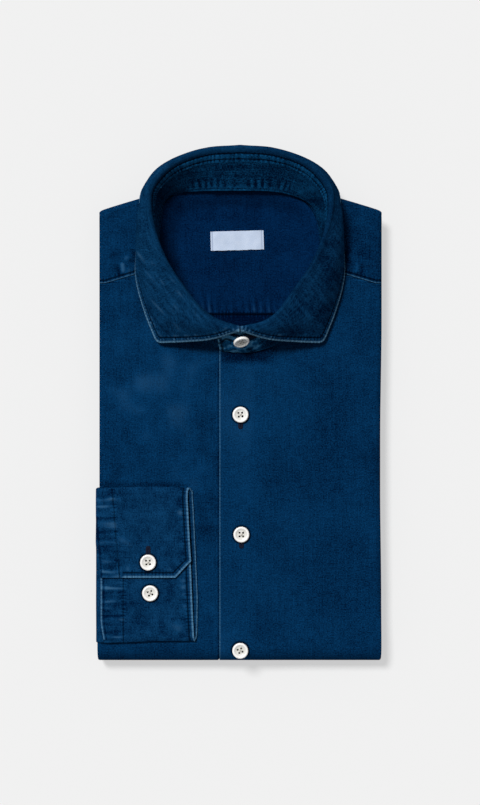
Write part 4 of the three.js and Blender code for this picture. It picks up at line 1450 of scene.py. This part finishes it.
UP = Vector((0, 0, 1))
LENGTHWISE = Vector((0, 1, 0))
buttonhole("buttonhole_front_1", FRONT_BUTTONS[0] - LENGTHWISE * 3.6, LENGTHWISE, UP)
buttonhole("buttonhole_front_2", FRONT_BUTTONS[1] - LENGTHWISE * 3.2, LENGTHWISE, UP)
buttonhole("buttonhole_front_3", FRONT_BUTTONS[2], LENGTHWISE, UP, 10)
buttonhole("buttonhole_cuff", CUFF_BUTTONS[0] + LENGTHWISE * 5.2 - UP * 0.3, LENGTHWISE, UP)
hole_spot = stand_point(2 * BACK_ROW - 0.4, 0.86)[0] + off * (STAND_THICKNESS / 2)
buttonhole("buttonhole_collar", hole_spot, Vector((1, 0.12, 0)), off, 14)

# %% [markdown]
# The neck label is a small woven ribbon, folded under at its ends and sewn down there. It is left
# blank. Satin weave shows as very fine lines across it.

# %% Neck label
LABEL_WIDTH = 41.6
LABEL_HEIGHT = 15.1
LABEL_THICKNESS = 0.35
LABEL_STITCH = 1.5
LABEL_AT = Vector((CENTRE_X - 2.2, 128, POCKET_FLOOR + GAP + CLOTH + GAP + LABEL_THICKNESS))
LABEL_TURN = Matrix.Rotation(math.radians(1.5), 3, "Z")


def satin():
    look = Look("satin label")
    flat = look.flat_cut()
    weave = look.noise(look.stretched(flat, (0.6, 6.0, 1.0)), 1.0, 2.0, 0.5)
    cloud = look.noise(flat, 0.2, 2.0, 0.5)
    edge = look.trait("edge")
    stitch = look.trait("stitch")
    tone = look.mix(weave * 0.5 + cloud * 0.5, colour(168, 188, 218), colour(214, 224, 240))
    tone = look.mix(stitch.step(0.7, 0.2) * 0.45 + edge.step(0.5, 0.0) * 0.3, tone, colour(90, 112, 150))
    look.feed(Base_Color=tone, Roughness=0.55, Specular_IOR_Level=0.3, Normal=look.bump(weave, 0.3, 0.2 * MM))
    return look.material


def label_spot(u, v):
    x = (u - 0.5) * LABEL_WIDTH
    y = (v - 0.5) * LABEL_HEIGHT
    end = LABEL_WIDTH / 2 - abs(x)
    edge = min(end, LABEL_HEIGHT / 2 - abs(y))
    stitch = abs(end - LABEL_STITCH)
    lift = 0.5 * smooth(0, 5, end) * (0.6 + soft_noise(x, y, 71, 9)) - 0.2 * smooth(1, 0, stitch)
    ragged = 0.25 * soft_noise(x, 0, 73, 3) * smooth(3, 0, y + LABEL_HEIGHT / 2)
    point = LABEL_AT + LABEL_TURN @ Vector((x, y + ragged, lift))
    return point, (x, y), (edge, stitch, x, 0)


label = cloth("shirt_neck_label", "neck_label", "label", satin(), (60, 24), label_spot, LABEL_THICKNESS, 0.1)

# %% [markdown]
# A pale floor and light from the upper left, as in a catalogue picture. One high lamp with a wide
# disc gives the short soft shadow to the right and below, and a dim white surrounding fills the rest.
# The paper glows a little by itself, as a backlit table does, so that the shadow stays light.

# %% Floor and light
PAPER_TONE = 0.335
PAPER_GLOW = 0.531
bpy.ops.mesh.primitive_plane_add(size=40, location=(0, 0, -0.0002))
floor = bpy.context.object
floor.name = "floor"


def paper():
    look = Look("pale paper")
    look.feed(Base_Color=(PAPER_TONE, PAPER_TONE, PAPER_TONE, 1.0), Roughness=0.9, Specular_IOR_Level=0.0)
    look.feed(Emission_Color=(1.0, 1.0, 1.0, 1.0), Emission_Strength=PAPER_GLOW)
    return look.material


floor.data.materials.append(paper())

key = bpy.data.lights.new("key", "SUN")
key.energy = 3.0
key.angle = math.radians(16)
key_holder = bpy.data.objects.new("key", key)
key_holder.rotation_euler = Vector((0.4, -0.56, -1)).to_track_quat("-Z", "Y").to_euler()
bpy.context.scene.collection.objects.link(key_holder)

world = bpy.data.worlds.new("studio")
world.use_nodes = True
background = world.node_tree.nodes["Background"]
background.inputs["Color"].default_value = (1, 1, 1, 1)
background.inputs["Strength"].default_value = 0.25
bpy.context.scene.world = world
bpy.context.scene.view_settings.view_transform = "Standard"

# %% [markdown]
# The camera looks straight down through an 85 mm lens. The photo is 480 by 805 pixels and one pixel
# covers 0.7774 mm of the front surface, which gives the distance.

# %% Camera
PIXEL = 0.7774
PICTURE_HEIGHT = 805
LENS = 85
SENSOR = 36
AIM = Vector((0.8, 1.6, 0)) * MM
distance = PICTURE_HEIGHT * PIXEL * LENS / SENSOR * MM
camera = bpy.data.cameras.new("camera")
camera.lens = LENS
camera.sensor_width = SENSOR
holder = bpy.data.objects.new("camera", camera)
holder.location = (AIM.x, AIM.y, STACK * MM + distance)
bpy.context.scene.collection.objects.link(holder)
bpy.context.scene.camera = holder
print("camera", round(distance, 3), "m above the cloth")
